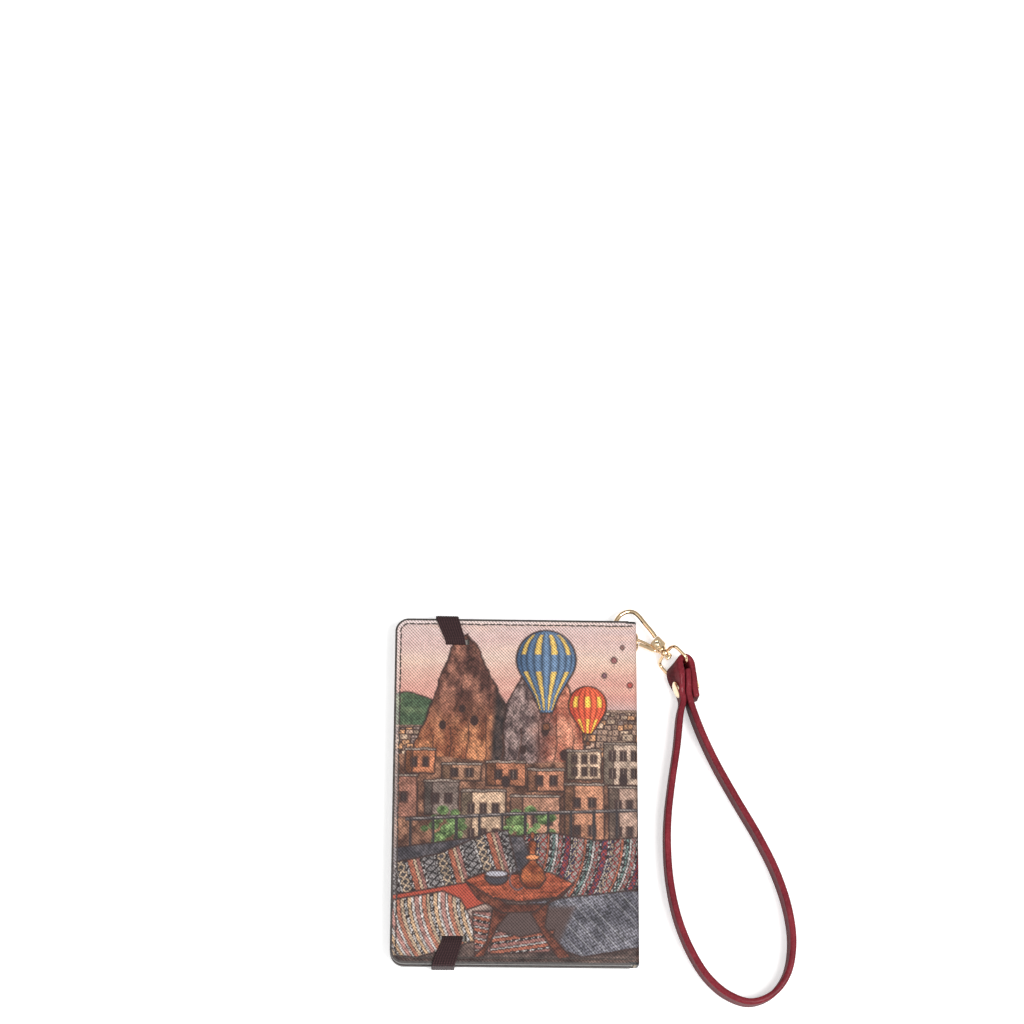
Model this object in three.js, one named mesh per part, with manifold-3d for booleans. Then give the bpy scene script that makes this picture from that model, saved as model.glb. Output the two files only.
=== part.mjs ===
// Passport holder with an elastic closure and a clip-on wrist strap, lying closed on its back cover.
// Millimetres. X runs from the fore edge to the spine, Y to the top edge, Z out of the front cover.
// The origin is the middle of the back cover's outer face.
import * as THREE from 'three';
import { mergeVertices } from 'three/addons/utils/BufferGeometryUtils.js';
import Module from 'manifold-3d';

const wasm = await Module();
wasm.setup();

// ---- driving dimensions ----
const WIDTH = 100;               // fore edge to the spine's outer face
const HEIGHT = 142;
const CLOSED = 12;               // back cover's outer face to the front cover's
const CORNER = 5.7;              // fore-edge corner radius
const GAP = 0.3;                 // between pieces that touch
const SKIN = 0.8;
const BOARD = 1.2;
const LINING = 0.6;
const POCKET = 0.5;
const EDGE = 0.8;                // painted edge's width
const THREAD = 0.15;
const STITCH_INSET = 2.4;        // thread line to the cover's edge
const FLOOR = -1.3;              // the band's back run and the strap lie at this level
const STRAP_WIDTH = 12;
const STRAP_THICK = 2.6;
const WIRE = 0.95;               // clasp hook's wire radius

const FORE = -WIDTH / 2;
const SPINE = WIDTH / 2;
const TOP = HEIGHT / 2;
const MID = CLOSED / 2;
const SKIN_END = SPINE - 2;      // the skins stop here, at the creases
const BOARD_END = SPINE - 4.2;   // boards and linings stop short of the creases

// ---- colours ----
const look = (colour, roughness, metalness = 0) =>
  new THREE.MeshStandardMaterial({ color: colour, roughness, metalness });
const printed = look(0xd8a79b, 0.5);
const edgePaint = look(0x38322f, 0.5);
const threadLook = look(0x4a423f, 0.8);
const liningLook = look(0xb9b3ad, 0.8);
const boardLook = look(0x9c8f7c, 0.9);
const elastic = look(0x372629, 0.9);
const strapLook = look(0x82232d, 0.4);
const gold = look(0xd8b98a, 0.25, 1);
const steel = look(0xb8b8b4, 0.3, 1);

const model = new THREE.Group();

function add(name, geometry, material) {
  const mesh = new THREE.Mesh(geometry, material);
  mesh.name = name;
  model.add(mesh);
  return mesh;
}

// ---- shape helpers ----

// A closed skin over rings of equal point counts, capped at both ends or joined into a loop.
function loft(rings, looped = false) {
  const count = rings[0].length;
  const positions = [];
  const triangles = [];
  rings.flat().forEach((p) => positions.push(p.x, p.y, p.z));
  const spans = looped ? rings.length : rings.length - 1;
  for (let i = 0; i < spans; i++) {
    const here = i * count;
    const next = ((i + 1) % rings.length) * count;
    for (let k = 0; k < count; k++) {
      const l = (k + 1) % count;
      triangles.push(here + k, here + l, next + l, here + k, next + l, next + k);
    }
  }
  if (!looped) {
    [0, rings.length - 1].forEach((i) => {
      const middle = rings[i].reduce((sum, p) => sum.add(p), new THREE.Vector3());
      middle.divideScalar(count);
      const centre = positions.length / 3;
      positions.push(middle.x, middle.y, middle.z);
      for (let k = 0; k < count; k++) {
        const a = i * count + k;
        const b = i * count + ((k + 1) % count);
        triangles.push(centre, ...(i === 0 ? [b, a] : [a, b]));
      }
    });
  }
  const geometry = new THREE.BufferGeometry();
  geometry.setAttribute('position', new THREE.Float32BufferAttribute(positions, 3));
  geometry.setIndex(signedVolume(positions, triangles) < 0 ? triangles.reverse() : triangles);
  return geometry;
}

function signedVolume(p, t) {
  const corner = (i) => new THREE.Vector3(p[3 * i], p[3 * i + 1], p[3 * i + 2]);
  let six = 0;
  for (let i = 0; i < t.length; i += 3) {
    six += corner(t[i]).dot(corner(t[i + 1]).cross(corner(t[i + 2])));
  }
  return six;
}

// A round wire of the given radius through the points.
function wire(points, radius, sides = 10, steps = 6, looped = false) {
  const curve = new THREE.CatmullRomCurve3(points, looped, 'centripetal');
  const stations = looped ? points.length * steps : (points.length - 1) * steps;
  const frames = curve.computeFrenetFrames(stations, looped);
  const rings = [];
  for (let i = 0; i < stations + (looped ? 0 : 1); i++) {
    const centre = curve.getPointAt(i / stations);
    const ring = [];
    for (let k = 0; k < sides; k++) {
      const turn = (2 * Math.PI * k) / sides;
      ring.push(centre.clone()
        .addScaledVector(frames.normals[i], radius * Math.cos(turn))
        .addScaledVector(frames.binormals[i], radius * Math.sin(turn)));
    }
    rings.push(ring);
  }
  return loft(rings, looped);
}

// A flat sheet lying in XY: the shape's outline raised from low to high.
function sheet(shape, low, high) {
  const geometry = new THREE.ExtrudeGeometry(shape, {
    depth: high - low, bevelEnabled: false, curveSegments: 8,
  });
  return geometry.translate(0, 0, low);
}

// A sheet standing in YZ, drawn with the shape's x as Y and its y as Z.
function upright(shape, low, high) {
  const geometry = new THREE.ExtrudeGeometry(shape, {
    depth: high - low, bevelEnabled: false, curveSegments: 8,
  });
  const turn = new THREE.Matrix4().makeBasis(
    new THREE.Vector3(0, 1, 0), new THREE.Vector3(0, 0, 1), new THREE.Vector3(1, 0, 0));
  return geometry.applyMatrix4(turn).translate(low, 0, 0);
}

function rectangle(x0, y0, x1, y1) {
  const shape = new THREE.Shape();
  shape.moveTo(x0, y0).lineTo(x1, y0).lineTo(x1, y1).lineTo(x0, y1).closePath();
  return shape;
}

// A cover's outline, inset from its edge, with the fore-edge corners rounded.
function coverShape(inset, end) {
  const radius = CORNER - inset;
  const left = FORE + inset;
  const top = TOP - inset;
  const shape = new THREE.Shape();
  shape.moveTo(end, -top).lineTo(end, top).lineTo(left + radius, top);
  shape.absarc(left + radius, top - radius, radius, Math.PI / 2, Math.PI);
  shape.lineTo(left, -top + radius);
  shape.absarc(left + radius, -top + radius, radius, Math.PI, 1.5 * Math.PI);
  shape.closePath();
  return shape;
}

// A strip that follows the cover's three free edges, between two insets.
function rimShape(outer, inner, end) {
  const left = FORE;
  const shape = new THREE.Shape();
  const arcX = left + CORNER;
  const arcY = TOP - CORNER;
  shape.moveTo(end, TOP - outer).lineTo(arcX, TOP - outer);
  shape.absarc(arcX, arcY, CORNER - outer, Math.PI / 2, Math.PI);
  shape.lineTo(left + outer, -arcY);
  shape.absarc(arcX, -arcY, CORNER - outer, Math.PI, 1.5 * Math.PI);
  shape.lineTo(end, -TOP + outer).lineTo(end, -TOP + inner).lineTo(arcX, -TOP + inner);
  shape.absarc(arcX, -arcY, CORNER - inner, 1.5 * Math.PI, Math.PI, true);
  shape.lineTo(left + inner, arcY);
  shape.absarc(arcX, arcY, CORNER - inner, Math.PI, Math.PI / 2, true);
  shape.lineTo(end, TOP - inner).closePath();
  return shape;
}

function hole(shape, path) {
  shape.holes.push(path);
  return shape;
}

function roundHole(x, y, radius) {
  const path = new THREE.Path();
  path.absarc(x, y, radius, 0, 2 * Math.PI, true);
  return path;
}

// ---- solids to cut and join ----
function solid(geometry) {
  const bare = geometry.clone();
  bare.deleteAttribute('normal');
  bare.deleteAttribute('uv');
  const merged = mergeVertices(bare, 1e-5);
  return new wasm.Manifold(new wasm.Mesh({
    numProp: 3,
    vertProperties: new Float32Array(merged.attributes.position.array),
    triVerts: new Uint32Array(merged.index.array),
  }));
}

function fromSolid(body) {
  const mesh = body.getMesh();
  const geometry = new THREE.BufferGeometry();
  geometry.setAttribute('position', new THREE.BufferAttribute(mesh.vertProperties, 3));
  geometry.setIndex(new THREE.BufferAttribute(mesh.triVerts, 1));
  return geometry;
}

// ---- covers ----
// Each cover is a printed skin, a board and a lining, with paint round the three free edges.
const BAND_WIDTH = 9.3;
const BAND_THICK = 1.0;
const SLOT_Y = 61;               // band slots' distance from the cover's middle
const SLOT_X = -24.2;
const SLOT_LENGTH = 9.8;
const SLOT_HALF = 1.15;
const BAND_END = 11;             // length of the band that lies flat behind the skin
const BAND_X = -28.6;            // where the band crosses the edges

function coverPieces(side, faceZ, inward) {
  const span = (from, thickness) => {
    const a = faceZ + inward * from;
    const b = a + inward * thickness;
    return [Math.min(a, b), Math.max(a, b)];
  };
  const inset = EDGE + GAP;
  const skinShape = coverShape(inset, SKIN_END);
  const boardShape = coverShape(inset, BOARD_END);
  if (side === 'front') {
    [-1, 1].forEach((end) => {
      const x0 = SLOT_X - SLOT_LENGTH / 2;
      const x1 = SLOT_X + SLOT_LENGTH / 2;
      const y = end * SLOT_Y;
      hole(skinShape, rectangle(x0, y - SLOT_HALF, x1, y + SLOT_HALF));
      const near = y + end * (SLOT_HALF + GAP);
      const far = y - end * (BAND_END + 2);
      hole(boardShape, rectangle(x0 - GAP, Math.min(near, far), x1 + GAP, Math.max(near, far)));
    });
  }
  const boardFrom = SKIN + GAP;
  const liningFrom = boardFrom + BOARD + GAP;
  const rimDepth = liningFrom + LINING;
  add(`${side}_skin`, sheet(skinShape, ...span(0, SKIN)), printed);
  add(`${side}_board`, sheet(boardShape, ...span(boardFrom, BOARD)), boardLook);
  add(`${side}_lining`, sheet(coverShape(inset, BOARD_END), ...span(liningFrom, LINING)), liningLook);
  add(`${side}_edge_paint`, sheet(rimShape(0, EDGE, BOARD_END), ...span(0, rimDepth)), edgePaint);
  const seam = rimShape(STITCH_INSET - 0.25, STITCH_INSET + 0.25, SKIN_END - 1);
  add(`${side}_thread`, sheet(seam, ...span(-0.1 - THREAD, THREAD)), threadLook);
  return rimDepth;
}

const coverDepth = coverPieces('back', 0, 1);
coverPieces('front', CLOSED, -1);

// The passport's cover slides into the sleeve from the gutter; the sleeve is sewn on three sides.
const SLEEVE_END = 12;
const sleeve = coverShape(EDGE + 3 * GAP, SLEEVE_END);
add('passport_sleeve', sheet(sleeve, coverDepth + GAP, coverDepth + GAP + LINING), liningLook);

// Three stepped card pockets on the front cover's lining.
const CARD_TOPS = [30, 14, -2];
CARD_TOPS.forEach((top, i) => {
  const high = CLOSED - coverDepth - GAP - i * (POCKET + GAP);
  const shape = rectangle(FORE + 3, -TOP + 3, 40, top);
  add(`card_pocket_${i + 1}`, sheet(shape, high - POCKET, high), liningLook);
});

// ---- spine ----
const EYELET_Y = 63.3;
const EYELET_HOLE = 2.5;
const BARREL = 2.85;
const FLANGE = 3.8;
const FLANGE_RISE = 0.9;
const STIFFENER = 1.0;
const SPINE_LINING = 0.5;
const STIFFENER_X = SPINE - SKIN - GAP - STIFFENER;
const SPINE_LINING_X = STIFFENER_X - GAP - SPINE_LINING;

function spineSheet(margin) {
  const top = TOP - 0.2;
  return hole(rectangle(-top, margin, top, CLOSED - margin), roundHole(EYELET_Y, MID, BARREL + GAP));
}
add('spine_skin', upright(spineSheet(1.2), SPINE - SKIN, SPINE), printed);
add('spine_stiffener', upright(spineSheet(1.8), STIFFENER_X, STIFFENER_X + STIFFENER), boardLook);
add('spine_lining', upright(spineSheet(1.8), SPINE_LINING_X, SPINE_LINING_X + SPINE_LINING), liningLook);

// The eyelet's barrel goes through the spine; its flange is domed and its washer is inside.
function turned(profile, segments = 28) {
  const points = profile.map(([radius, along]) => new THREE.Vector2(radius, along));
  return new THREE.LatheGeometry(points, segments);
}
function alongX(geometry, x, y, z) {
  return geometry.rotateZ(-Math.PI / 2).translate(x, y, z);
}
const eyeletProfile = [
  [EYELET_HOLE, SPINE_LINING_X - 1.0], [BARREL, SPINE_LINING_X - 1.0], [BARREL, SPINE + GAP],
  [FLANGE, SPINE + GAP], [FLANGE - 0.3, SPINE + 0.6], [FLANGE - 0.6, SPINE + FLANGE_RISE],
  [EYELET_HOLE + 0.5, SPINE + FLANGE_RISE], [EYELET_HOLE, SPINE + 0.5],
  [EYELET_HOLE, SPINE_LINING_X - 1.0],
];
add('spine_eyelet', alongX(turned(eyeletProfile), 0, EYELET_Y, MID), gold);
const washerHigh = SPINE_LINING_X - GAP;
const washerProfile = [
  [BARREL + GAP, washerHigh - 0.6], [FLANGE, washerHigh - 0.6], [FLANGE, washerHigh],
  [BARREL + GAP, washerHigh], [BARREL + GAP, washerHigh - 0.6],
];
add('eyelet_washer', alongX(turned(washerProfile), 0, EYELET_Y, MID), gold);

// ---- elastic band ----
// It comes out of a slot in the front cover near each end, slants to the edge, goes round both
// covers and lies along the back. Each end lies flat behind the skin, in a window in the board.
const BAND_HIGH = CLOSED + 0.5 + BAND_THICK / 2;  // middle of its thickness, over the stitches
const BAND_BEHIND = CLOSED - SKIN - GAP - BOARD / 2;
const BAND_OUT = TOP + GAP + BAND_THICK / 2;

// Sections parallel to X along a route of [y, z, middle x, width].
function ribbon(route) {
  const rings = route.map(([y, z, x, width], i) => {
    const [y0, z0] = route[Math.max(i - 1, 0)];
    const [y1, z1] = route[Math.min(i + 1, route.length - 1)];
    const before = new THREE.Vector2(y - y0, z - z0);
    const after = new THREE.Vector2(y1 - y, z1 - z);
    if (before.length() === 0) before.copy(after);
    if (after.length() === 0) after.copy(before);
    const normal = (v) => new THREE.Vector2(-v.y, v.x).normalize();
    const sum = normal(before).add(normal(after));
    const off = sum.multiplyScalar(BAND_THICK / sum.lengthSq());
    return [[-1, 1], [1, 1], [1, -1], [-1, -1]].map(([across, up]) =>
      new THREE.Vector3(x + across * width / 2, y + up * off.x, z + up * off.y));
  });
  return loft(rings);
}

function bandEnd(end) {
  const slot = SLOT_Y;
  const inSlot = 8.2;
  const slotX = SLOT_X - 0.5;
  const route = [
    [slot - BAND_END, BAND_BEHIND, slotX, inSlot],
    [slot - 0.9, BAND_BEHIND, slotX, inSlot],
    [slot + 0.8, BAND_HIGH, slotX - 0.3, inSlot],
    [TOP - 0.6, BAND_HIGH, BAND_X, BAND_WIDTH],
    [BAND_OUT - 0.3, BAND_HIGH - 0.3, BAND_X, BAND_WIDTH],
    [BAND_OUT, BAND_HIGH - 1.2, BAND_X, BAND_WIDTH],
    [BAND_OUT, 0.2, BAND_X, BAND_WIDTH],
  ];
  return ribbon(route.map(([y, z, x, width]) => [end * y, z, x, width]));
}
add('elastic_top', bandEnd(1), elastic);
add('elastic_bottom', bandEnd(-1), elastic);
const backRun = rectangle(BAND_X - BAND_WIDTH / 2, -BAND_OUT - 0.5, BAND_X + BAND_WIDTH / 2, BAND_OUT + 0.5);
add('elastic_back_run', sheet(backRun, FLOOR, FLOOR + BAND_THICK), elastic);

// ---- clasp ----
// Its own frame: along is from the hook to the strap, across lies in XY, up is Z.
const CLASP = new THREE.Vector3(59.0, 62.3, MID);
const CLASP_TURN = THREE.MathUtils.degToRad(-47);
const along = new THREE.Vector3(Math.cos(CLASP_TURN), Math.sin(CLASP_TURN), 0);
const across = new THREE.Vector3(-along.y, along.x, 0);
const inClasp = (s, t, z = 0) =>
  CLASP.clone().addScaledVector(along, s).addScaledVector(across, t).setZ(MID + z);

function claspBlock(s0, t0, z0, s1, t1, z1) {
  const box = new THREE.BoxGeometry(s1 - s0, t1 - t0, z1 - z0);
  box.rotateZ(CLASP_TURN);
  const middle = inClasp((s0 + s1) / 2, (t0 + t1) / 2, (z0 + z1) / 2);
  return box.translate(middle.x, middle.y, middle.z);
}
function alongClasp(profile, segments = 20) {
  const geometry = turned(profile, segments);
  geometry.rotateZ(CLASP_TURN - Math.PI / 2);
  return geometry.translate(CLASP.x, CLASP.y, CLASP.z);
}
function upClasp(profile, segments = 20) {
  return turned(profile, segments).rotateX(Math.PI / 2).translate(CLASP.x, CLASP.y, CLASP.z);
}

const flat = (pairs, z = MID) => pairs.map(([x, y]) => new THREE.Vector3(x, y, z));
// Out of the body, over the cover's top edge, down behind the front cover and out of the eyelet.
const hookRoute = flat([
  [59.0, 65.0], [57.0, 67.7], [53.9, 71.5], [51.2, 74.9], [49.4, 76.2], [47.3, 76.5],
  [44.4, 75.4], [42.1, 72.7], [40.9, 69.4], [41.5, 66.3], [44.0, 64.5], [47.6, 63.4], [50.4, 62.7],
]);
const SLOT_UP = 1.2;             // half the height of the body's slot for the gate
const PIN = 0.5;
const body = solid(wire(hookRoute, WIRE, 10, 4))
  .add(solid(claspBlock(-2.4, -2.2, -2, 2.4, 2.7, 2)))
  .add(solid(alongClasp([[0, 2.0], [1.8, 2.0], [1.8, 3.2], [1.5, 3.5], [0.85, 3.5], [0.85, 6.2],
    [0, 6.2]])))
  .add(solid(claspBlock(5.9, -1.3, -1.3, 7.6, 1.3, 1.3)))
  .subtract(solid(claspBlock(-3, -3, -SLOT_UP, 1.9, 2.2, SLOT_UP)))
  .subtract(solid(upClasp([[0, -3], [PIN + 0.1, -3], [PIN + 0.1, 3], [0, 3]])));
add('clasp_body', fromSolid(body), gold);

const HEAD = 1.25;
const headLow = 2 + 0.1;
add('clasp_pin', upClasp([
  [0, -headLow - 0.5], [HEAD - 0.4, -headLow - 0.5], [HEAD, -headLow], [PIN, -headLow],
  [PIN, headLow], [HEAD, headLow], [HEAD - 0.4, headLow + 0.5], [0, headLow + 0.5],
]), steel);

// A leaf spring in the slot, behind the gate's round heel.
add('gate_spring', claspBlock(-1.6, 1.75, -0.8, 1.4, 1.95, 0.8), steel);

// The gate turns on the pin and closes against the hook's tip; the thumb lever lies beside it.
const GATE_HEEL = 1.45;
const GATE_HALF = 0.9;
function gateShape() {
  const shape = new THREE.Shape();
  const [cx, cy] = [CLASP.x, CLASP.y];
  const from = THREE.MathUtils.degToRad(-68);
  const to = THREE.MathUtils.degToRad(-158);
  shape.moveTo(cx + GATE_HEEL * Math.cos(from), cy + GATE_HEEL * Math.sin(from));
  shape.absarc(cx, cy, GATE_HEEL, from, to, false);
  shape.lineTo(57.0, 61.2).lineTo(55.2, 62.75).lineTo(51.6, 64.5).lineTo(51.4, 63.8);
  shape.lineTo(54.7, 62.15).lineTo(54.6, 61.75).lineTo(51.5, 63.0).lineTo(51.4, 61.75).lineTo(58.0, 59.05);
  shape.closePath();
  return hole(shape, roundHole(cx, cy, PIN + 0.12));
}
add('clasp_gate', sheet(gateShape(), MID - GATE_HALF, MID + GATE_HALF), gold);

// ---- swivel eye ----
// A wire loop whose plane holds the clasp's axis and leans up out of the cover's plane.
const EYE_LEAN = THREE.MathUtils.degToRad(60);
const bar = across.clone().multiplyScalar(Math.cos(EYE_LEAN)).setZ(Math.sin(EYE_LEAN));
const EYE_WIRE = 0.65;
const EYE_MIDDLE = 9.5;
const EYE_HALF_LENGTH = 4.6;
const EYE_HALF_WIDTH = 7.6;
const EYE_SQUARENESS = 4;
const eyePoints = [];
for (let i = 0; i < 24; i++) {
  const turn = (2 * Math.PI * i) / 24;
  const bulge = (v) => Math.sign(v) * Math.abs(v) ** (2 / EYE_SQUARENESS);
  eyePoints.push(CLASP.clone()
    .addScaledVector(bar, EYE_HALF_WIDTH * bulge(Math.cos(turn)))
    .addScaledVector(along, EYE_MIDDLE + EYE_HALF_LENGTH * bulge(Math.sin(turn))));
}
const eyeBody = solid(wire(eyePoints, EYE_WIRE, 8, 3, true))
  .add(solid(alongClasp([[0, 3.9], [1.9, 3.9], [1.9, 5.5], [0, 5.5]])))
  .subtract(solid(alongClasp([[0, 3], [1.15, 3], [1.15, 6.5], [0, 6.5]])));
add('swivel_eye', fromSolid(eyeBody), gold);

// ---- wrist strap ----
// One long strap. Its first end goes through the eye and folds back as a short tail; its other
// end lies between the tail and the strap, and a rivet holds the three layers.
const FOLD = CLASP.clone().addScaledVector(along, EYE_MIDDLE + EYE_HALF_LENGTH);
const LAYER = STRAP_THICK + 0.25;
const STRAP_Z = FLOOR + STRAP_WIDTH / 2;
const UP = new THREE.Vector3(0, 0, 1);
const down = new THREE.Vector3(0.1, -1, 0);
const firstWay = down.addScaledVector(bar, -down.dot(bar)).normalize();
const bundle = new THREE.CatmullRomCurve3([
  FOLD, FOLD.clone().addScaledVector(firstWay, 4).setZ(MID),
  new THREE.Vector3(71.0, 44.0, 5.1), new THREE.Vector3(71.9, 39.5, STRAP_Z),
  new THREE.Vector3(73.1, 35.0, STRAP_Z),
], false, 'centripetal');

// The strap's width lies along the eye's bar at the fold and turns upright below it.
function widthWay(point) {
  const far = THREE.MathUtils.smoothstep(point.distanceTo(FOLD), 2.5, 11.5);
  return bar.clone().lerp(UP, far).normalize();
}
function bundleFrame(distance) {
  const u = distance / bundle.getLength();
  const point = bundle.getPointAt(u);
  const way = bundle.getTangentAt(u);
  const side = widthWay(point).cross(way).normalize();
  return { point, way, side };
}
function inBundle(distance, layer) {
  const { point, side } = bundleFrame(distance);
  return point.addScaledVector(side, layer * LAYER);
}

const strapRoute = [];
[13.5, 10, 7, 4, 2].forEach((distance) => strapRoute.push(inBundle(distance, 1)));
for (let step = 0; step <= 6; step++) {
  const turn = (Math.PI * step) / 6;
  const { point, way, side } = bundleFrame(0);
  strapRoute.push(point.addScaledVector(side, LAYER * Math.cos(turn))
    .addScaledVector(way, -LAYER * Math.sin(turn)));
}
[2, 4, 7, 10, 13.5].forEach((distance) => strapRoute.push(inBundle(distance, -1)));
strapRoute.push(...flat([
  [68.1, 33.0], [66.6, 19.5], [64.2, 4.0], [62.5, -10.0], [62.1, -22.5], [63.0, -36.5],
  [65.9, -51.0], [70.9, -64.0], [77.6, -74.8], [85.8, -81.8], [94.8, -84.6], [103.2, -81.6],
  [109.4, -74.0], [112.1, -62.0], [110.9, -48.0], [106.2, -32.5], [99.2, -17.8], [90.3, -2.2],
  [82.2, 12.8], [76.6, 25.3],
], STRAP_Z));
[17, 15, 12, 9, 6, 2.6].forEach((distance) => strapRoute.push(inBundle(distance, 0)));

// The section is a flat rectangle with its four corners cut.
const STRAP_CUT = 0.6;
function strapSolid(route, stepsPerPoint = 4) {
  const curve = new THREE.CatmullRomCurve3(route, false, 'centripetal');
  const stations = (route.length - 1) * stepsPerPoint;
  const [w, t] = [STRAP_WIDTH / 2, STRAP_THICK / 2];
  const [v, s] = [w - STRAP_CUT, t - STRAP_CUT];
  const outline = [[-w, -s], [-w, s], [-v, t], [v, t], [w, s], [w, -s], [v, -t], [-v, -t]];
  const rings = [];
  for (let i = 0; i <= stations; i++) {
    const point = curve.getPoint(i / stations);
    const wide = widthWay(point);
    const thick = curve.getTangent(i / stations).cross(wide).normalize();
    rings.push(outline.map(([across, deep]) => point.clone()
      .addScaledVector(wide, across).addScaledVector(thick, deep)));
  }
  return loft(rings);
}

const RIVET_AT = 7.6;
const RIVET_POST = 1.1;
const CAP_CLEAR = 1.3;            // the layers twist under the caps
const rivet = bundleFrame(RIVET_AT);
function onRivet(profile, segments = 24) {
  const geometry = turned(profile, segments);
  const turn = new THREE.Quaternion().setFromUnitVectors(new THREE.Vector3(0, 1, 0), rivet.side);
  return geometry.applyQuaternion(turn).translate(rivet.point.x, rivet.point.y, rivet.point.z);
}
const face = LAYER + STRAP_THICK / 2;
const HOLE = RIVET_POST + 0.35;
const PAST = face + 3;            // the hole's cutter runs well past the layers
const rivetHole = onRivet([[0, -PAST], [HOLE, -PAST], [HOLE, PAST], [0, PAST]]);
add('wrist_strap', fromSolid(solid(strapSolid(strapRoute)).subtract(solid(rivetHole))), strapLook);
const CAP_RISE = 1.0;
const capSeat = -face - CAP_CLEAR;
const backSeat = face + CAP_CLEAR;
add('rivet_cap', onRivet([
  [0, capSeat - CAP_RISE], [1.6, capSeat - 0.9 * CAP_RISE], [3.0, capSeat - 0.6 * CAP_RISE],
  [3.6, capSeat], [RIVET_POST, capSeat], [RIVET_POST, face - 0.1], [0, face - 0.1],
]), gold);
add('rivet_back', onRivet([
  [0, backSeat], [3.0, backSeat], [2.6, backSeat + 0.6], [0, backSeat + 0.8],
]), gold);

export default model;
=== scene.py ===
"""Looks of a closed passport holder that lies on its back cover, with its band, clasp and wrist strap.
Lengths are millimetres until a mesh is made. X runs from the fore edge to the spine, Y to the top edge
and Z out of the front cover; the origin is the middle of the back cover's outer face."""
import math

import bmesh
import bpy
import numpy as np
from mathutils import Matrix, Vector


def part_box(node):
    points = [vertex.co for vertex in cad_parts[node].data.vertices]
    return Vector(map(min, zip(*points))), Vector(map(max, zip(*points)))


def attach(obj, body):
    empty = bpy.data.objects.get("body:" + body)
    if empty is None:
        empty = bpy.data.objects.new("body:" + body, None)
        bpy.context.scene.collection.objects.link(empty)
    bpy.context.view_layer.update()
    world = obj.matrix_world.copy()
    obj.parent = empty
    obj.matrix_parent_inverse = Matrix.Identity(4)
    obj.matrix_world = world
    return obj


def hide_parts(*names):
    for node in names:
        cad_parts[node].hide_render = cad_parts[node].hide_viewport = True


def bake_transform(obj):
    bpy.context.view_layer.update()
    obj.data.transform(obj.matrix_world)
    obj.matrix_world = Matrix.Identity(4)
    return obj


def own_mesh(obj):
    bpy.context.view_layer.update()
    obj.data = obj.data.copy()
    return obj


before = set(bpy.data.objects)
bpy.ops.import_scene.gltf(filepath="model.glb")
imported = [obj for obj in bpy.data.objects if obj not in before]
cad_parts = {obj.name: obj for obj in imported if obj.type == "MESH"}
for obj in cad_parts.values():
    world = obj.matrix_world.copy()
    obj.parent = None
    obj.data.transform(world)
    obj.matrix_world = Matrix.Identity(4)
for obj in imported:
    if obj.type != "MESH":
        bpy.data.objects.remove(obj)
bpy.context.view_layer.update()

MM = 0.001
WIDTH, HEIGHT = 100.0, 142.0     # of a cover
CLOSED = 12.0                    # thickness over both covers' outer faces
HALF_W, HALF_H = WIDTH / 2, HEIGHT / 2
MID = CLOSED / 2
CORNER = 5.7                     # fore-edge corner radius
SKIN = 0.8                       # thickness of the printed skin
FLOOR = -1.3                     # the band's back run stands this far below the back cover


# ---------------------------------------------------------------- meshes
def new_piece(name, verts, faces, material, body=None, slot=None, replaces=(), angle=40):
    """A mesh object from millimetre points, with its normals out, riding on a body."""
    mesh = bpy.data.meshes.new(name)
    mesh.from_pydata([tuple(v) for v in np.asarray(verts, float) * MM], [], faces)
    bm = bmesh.new()
    bm.from_mesh(mesh)
    bmesh.ops.recalc_face_normals(bm, faces=bm.faces)
    bm.to_mesh(mesh)
    bm.free()
    mesh.materials.append(material)
    obj = bpy.data.objects.new(name, mesh)
    bpy.context.scene.collection.objects.link(obj)
    mesh.shade_smooth()
    mesh.set_sharp_from_angle(angle=math.radians(angle))
    if replaces:
        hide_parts(*replaces)
    if body:
        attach(obj, body)
    return obj


class Parts:
    """Gathers several closed shapes into one mesh."""

    def __init__(self):
        self.verts, self.faces, self.count = [], [], 0

    def add(self, verts, faces):
        verts = np.asarray(verts, float)
        self.verts.append(verts)
        self.faces.extend(tuple(i + self.count for i in face) for face in faces)
        self.count += len(verts)

    def piece(self, name, material, **options):
        return new_piece(name, np.concatenate(self.verts), self.faces, material, **options)


def loft(rings, looped=False):
    """Quads over rings of equal point counts, capped at both ends unless they join into a loop."""
    rings = np.asarray(rings, float)
    n, m = rings.shape[:2]
    faces = []
    for i in range(n if looped else n - 1):
        a, b = i * m, ((i + 1) % n) * m
        for k in range(m):
            after = (k + 1) % m
            faces.append((a + k, a + after, b + after, b + k))
    if not looped:
        faces.append(tuple(range(m)))
        faces.append(tuple((n - 1) * m + k for k in range(m)))
    return rings.reshape(-1, 3), faces


def unit(v):
    v = np.asarray(v, float)
    return v / np.linalg.norm(v, axis=-1, keepdims=True)


def smooth_path(points, steps):
    """A centripetal Catmull-Rom curve through the points."""
    p = np.asarray(points, float)
    p = np.vstack([2 * p[0] - p[1], p, 2 * p[-1] - p[-2]])
    out = []
    for i in range(1, len(p) - 2):
        p0, p1, p2, p3 = p[i - 1:i + 3]
        t1 = max(np.linalg.norm(p1 - p0), 1e-6) ** 0.5
        t2 = t1 + max(np.linalg.norm(p2 - p1), 1e-6) ** 0.5
        t3 = t2 + max(np.linalg.norm(p3 - p2), 1e-6) ** 0.5
        for k in range(steps):
            t = t1 + (t2 - t1) * k / steps
            a1 = (t1 - t) / t1 * p0 + t / t1 * p1
            a2 = (t2 - t) / (t2 - t1) * p1 + (t - t1) / (t2 - t1) * p2
            a3 = (t3 - t) / (t3 - t2) * p2 + (t - t2) / (t3 - t2) * p3
            b1 = (t2 - t) / t2 * a1 + t / t2 * a2
            b2 = (t3 - t) / (t3 - t1) * a2 + (t - t1) / (t3 - t1) * a3
            out.append((t2 - t) / (t2 - t1) * b1 + (t - t1) / (t2 - t1) * b2)
    out.append(p[-2])
    return np.array(out)


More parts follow.
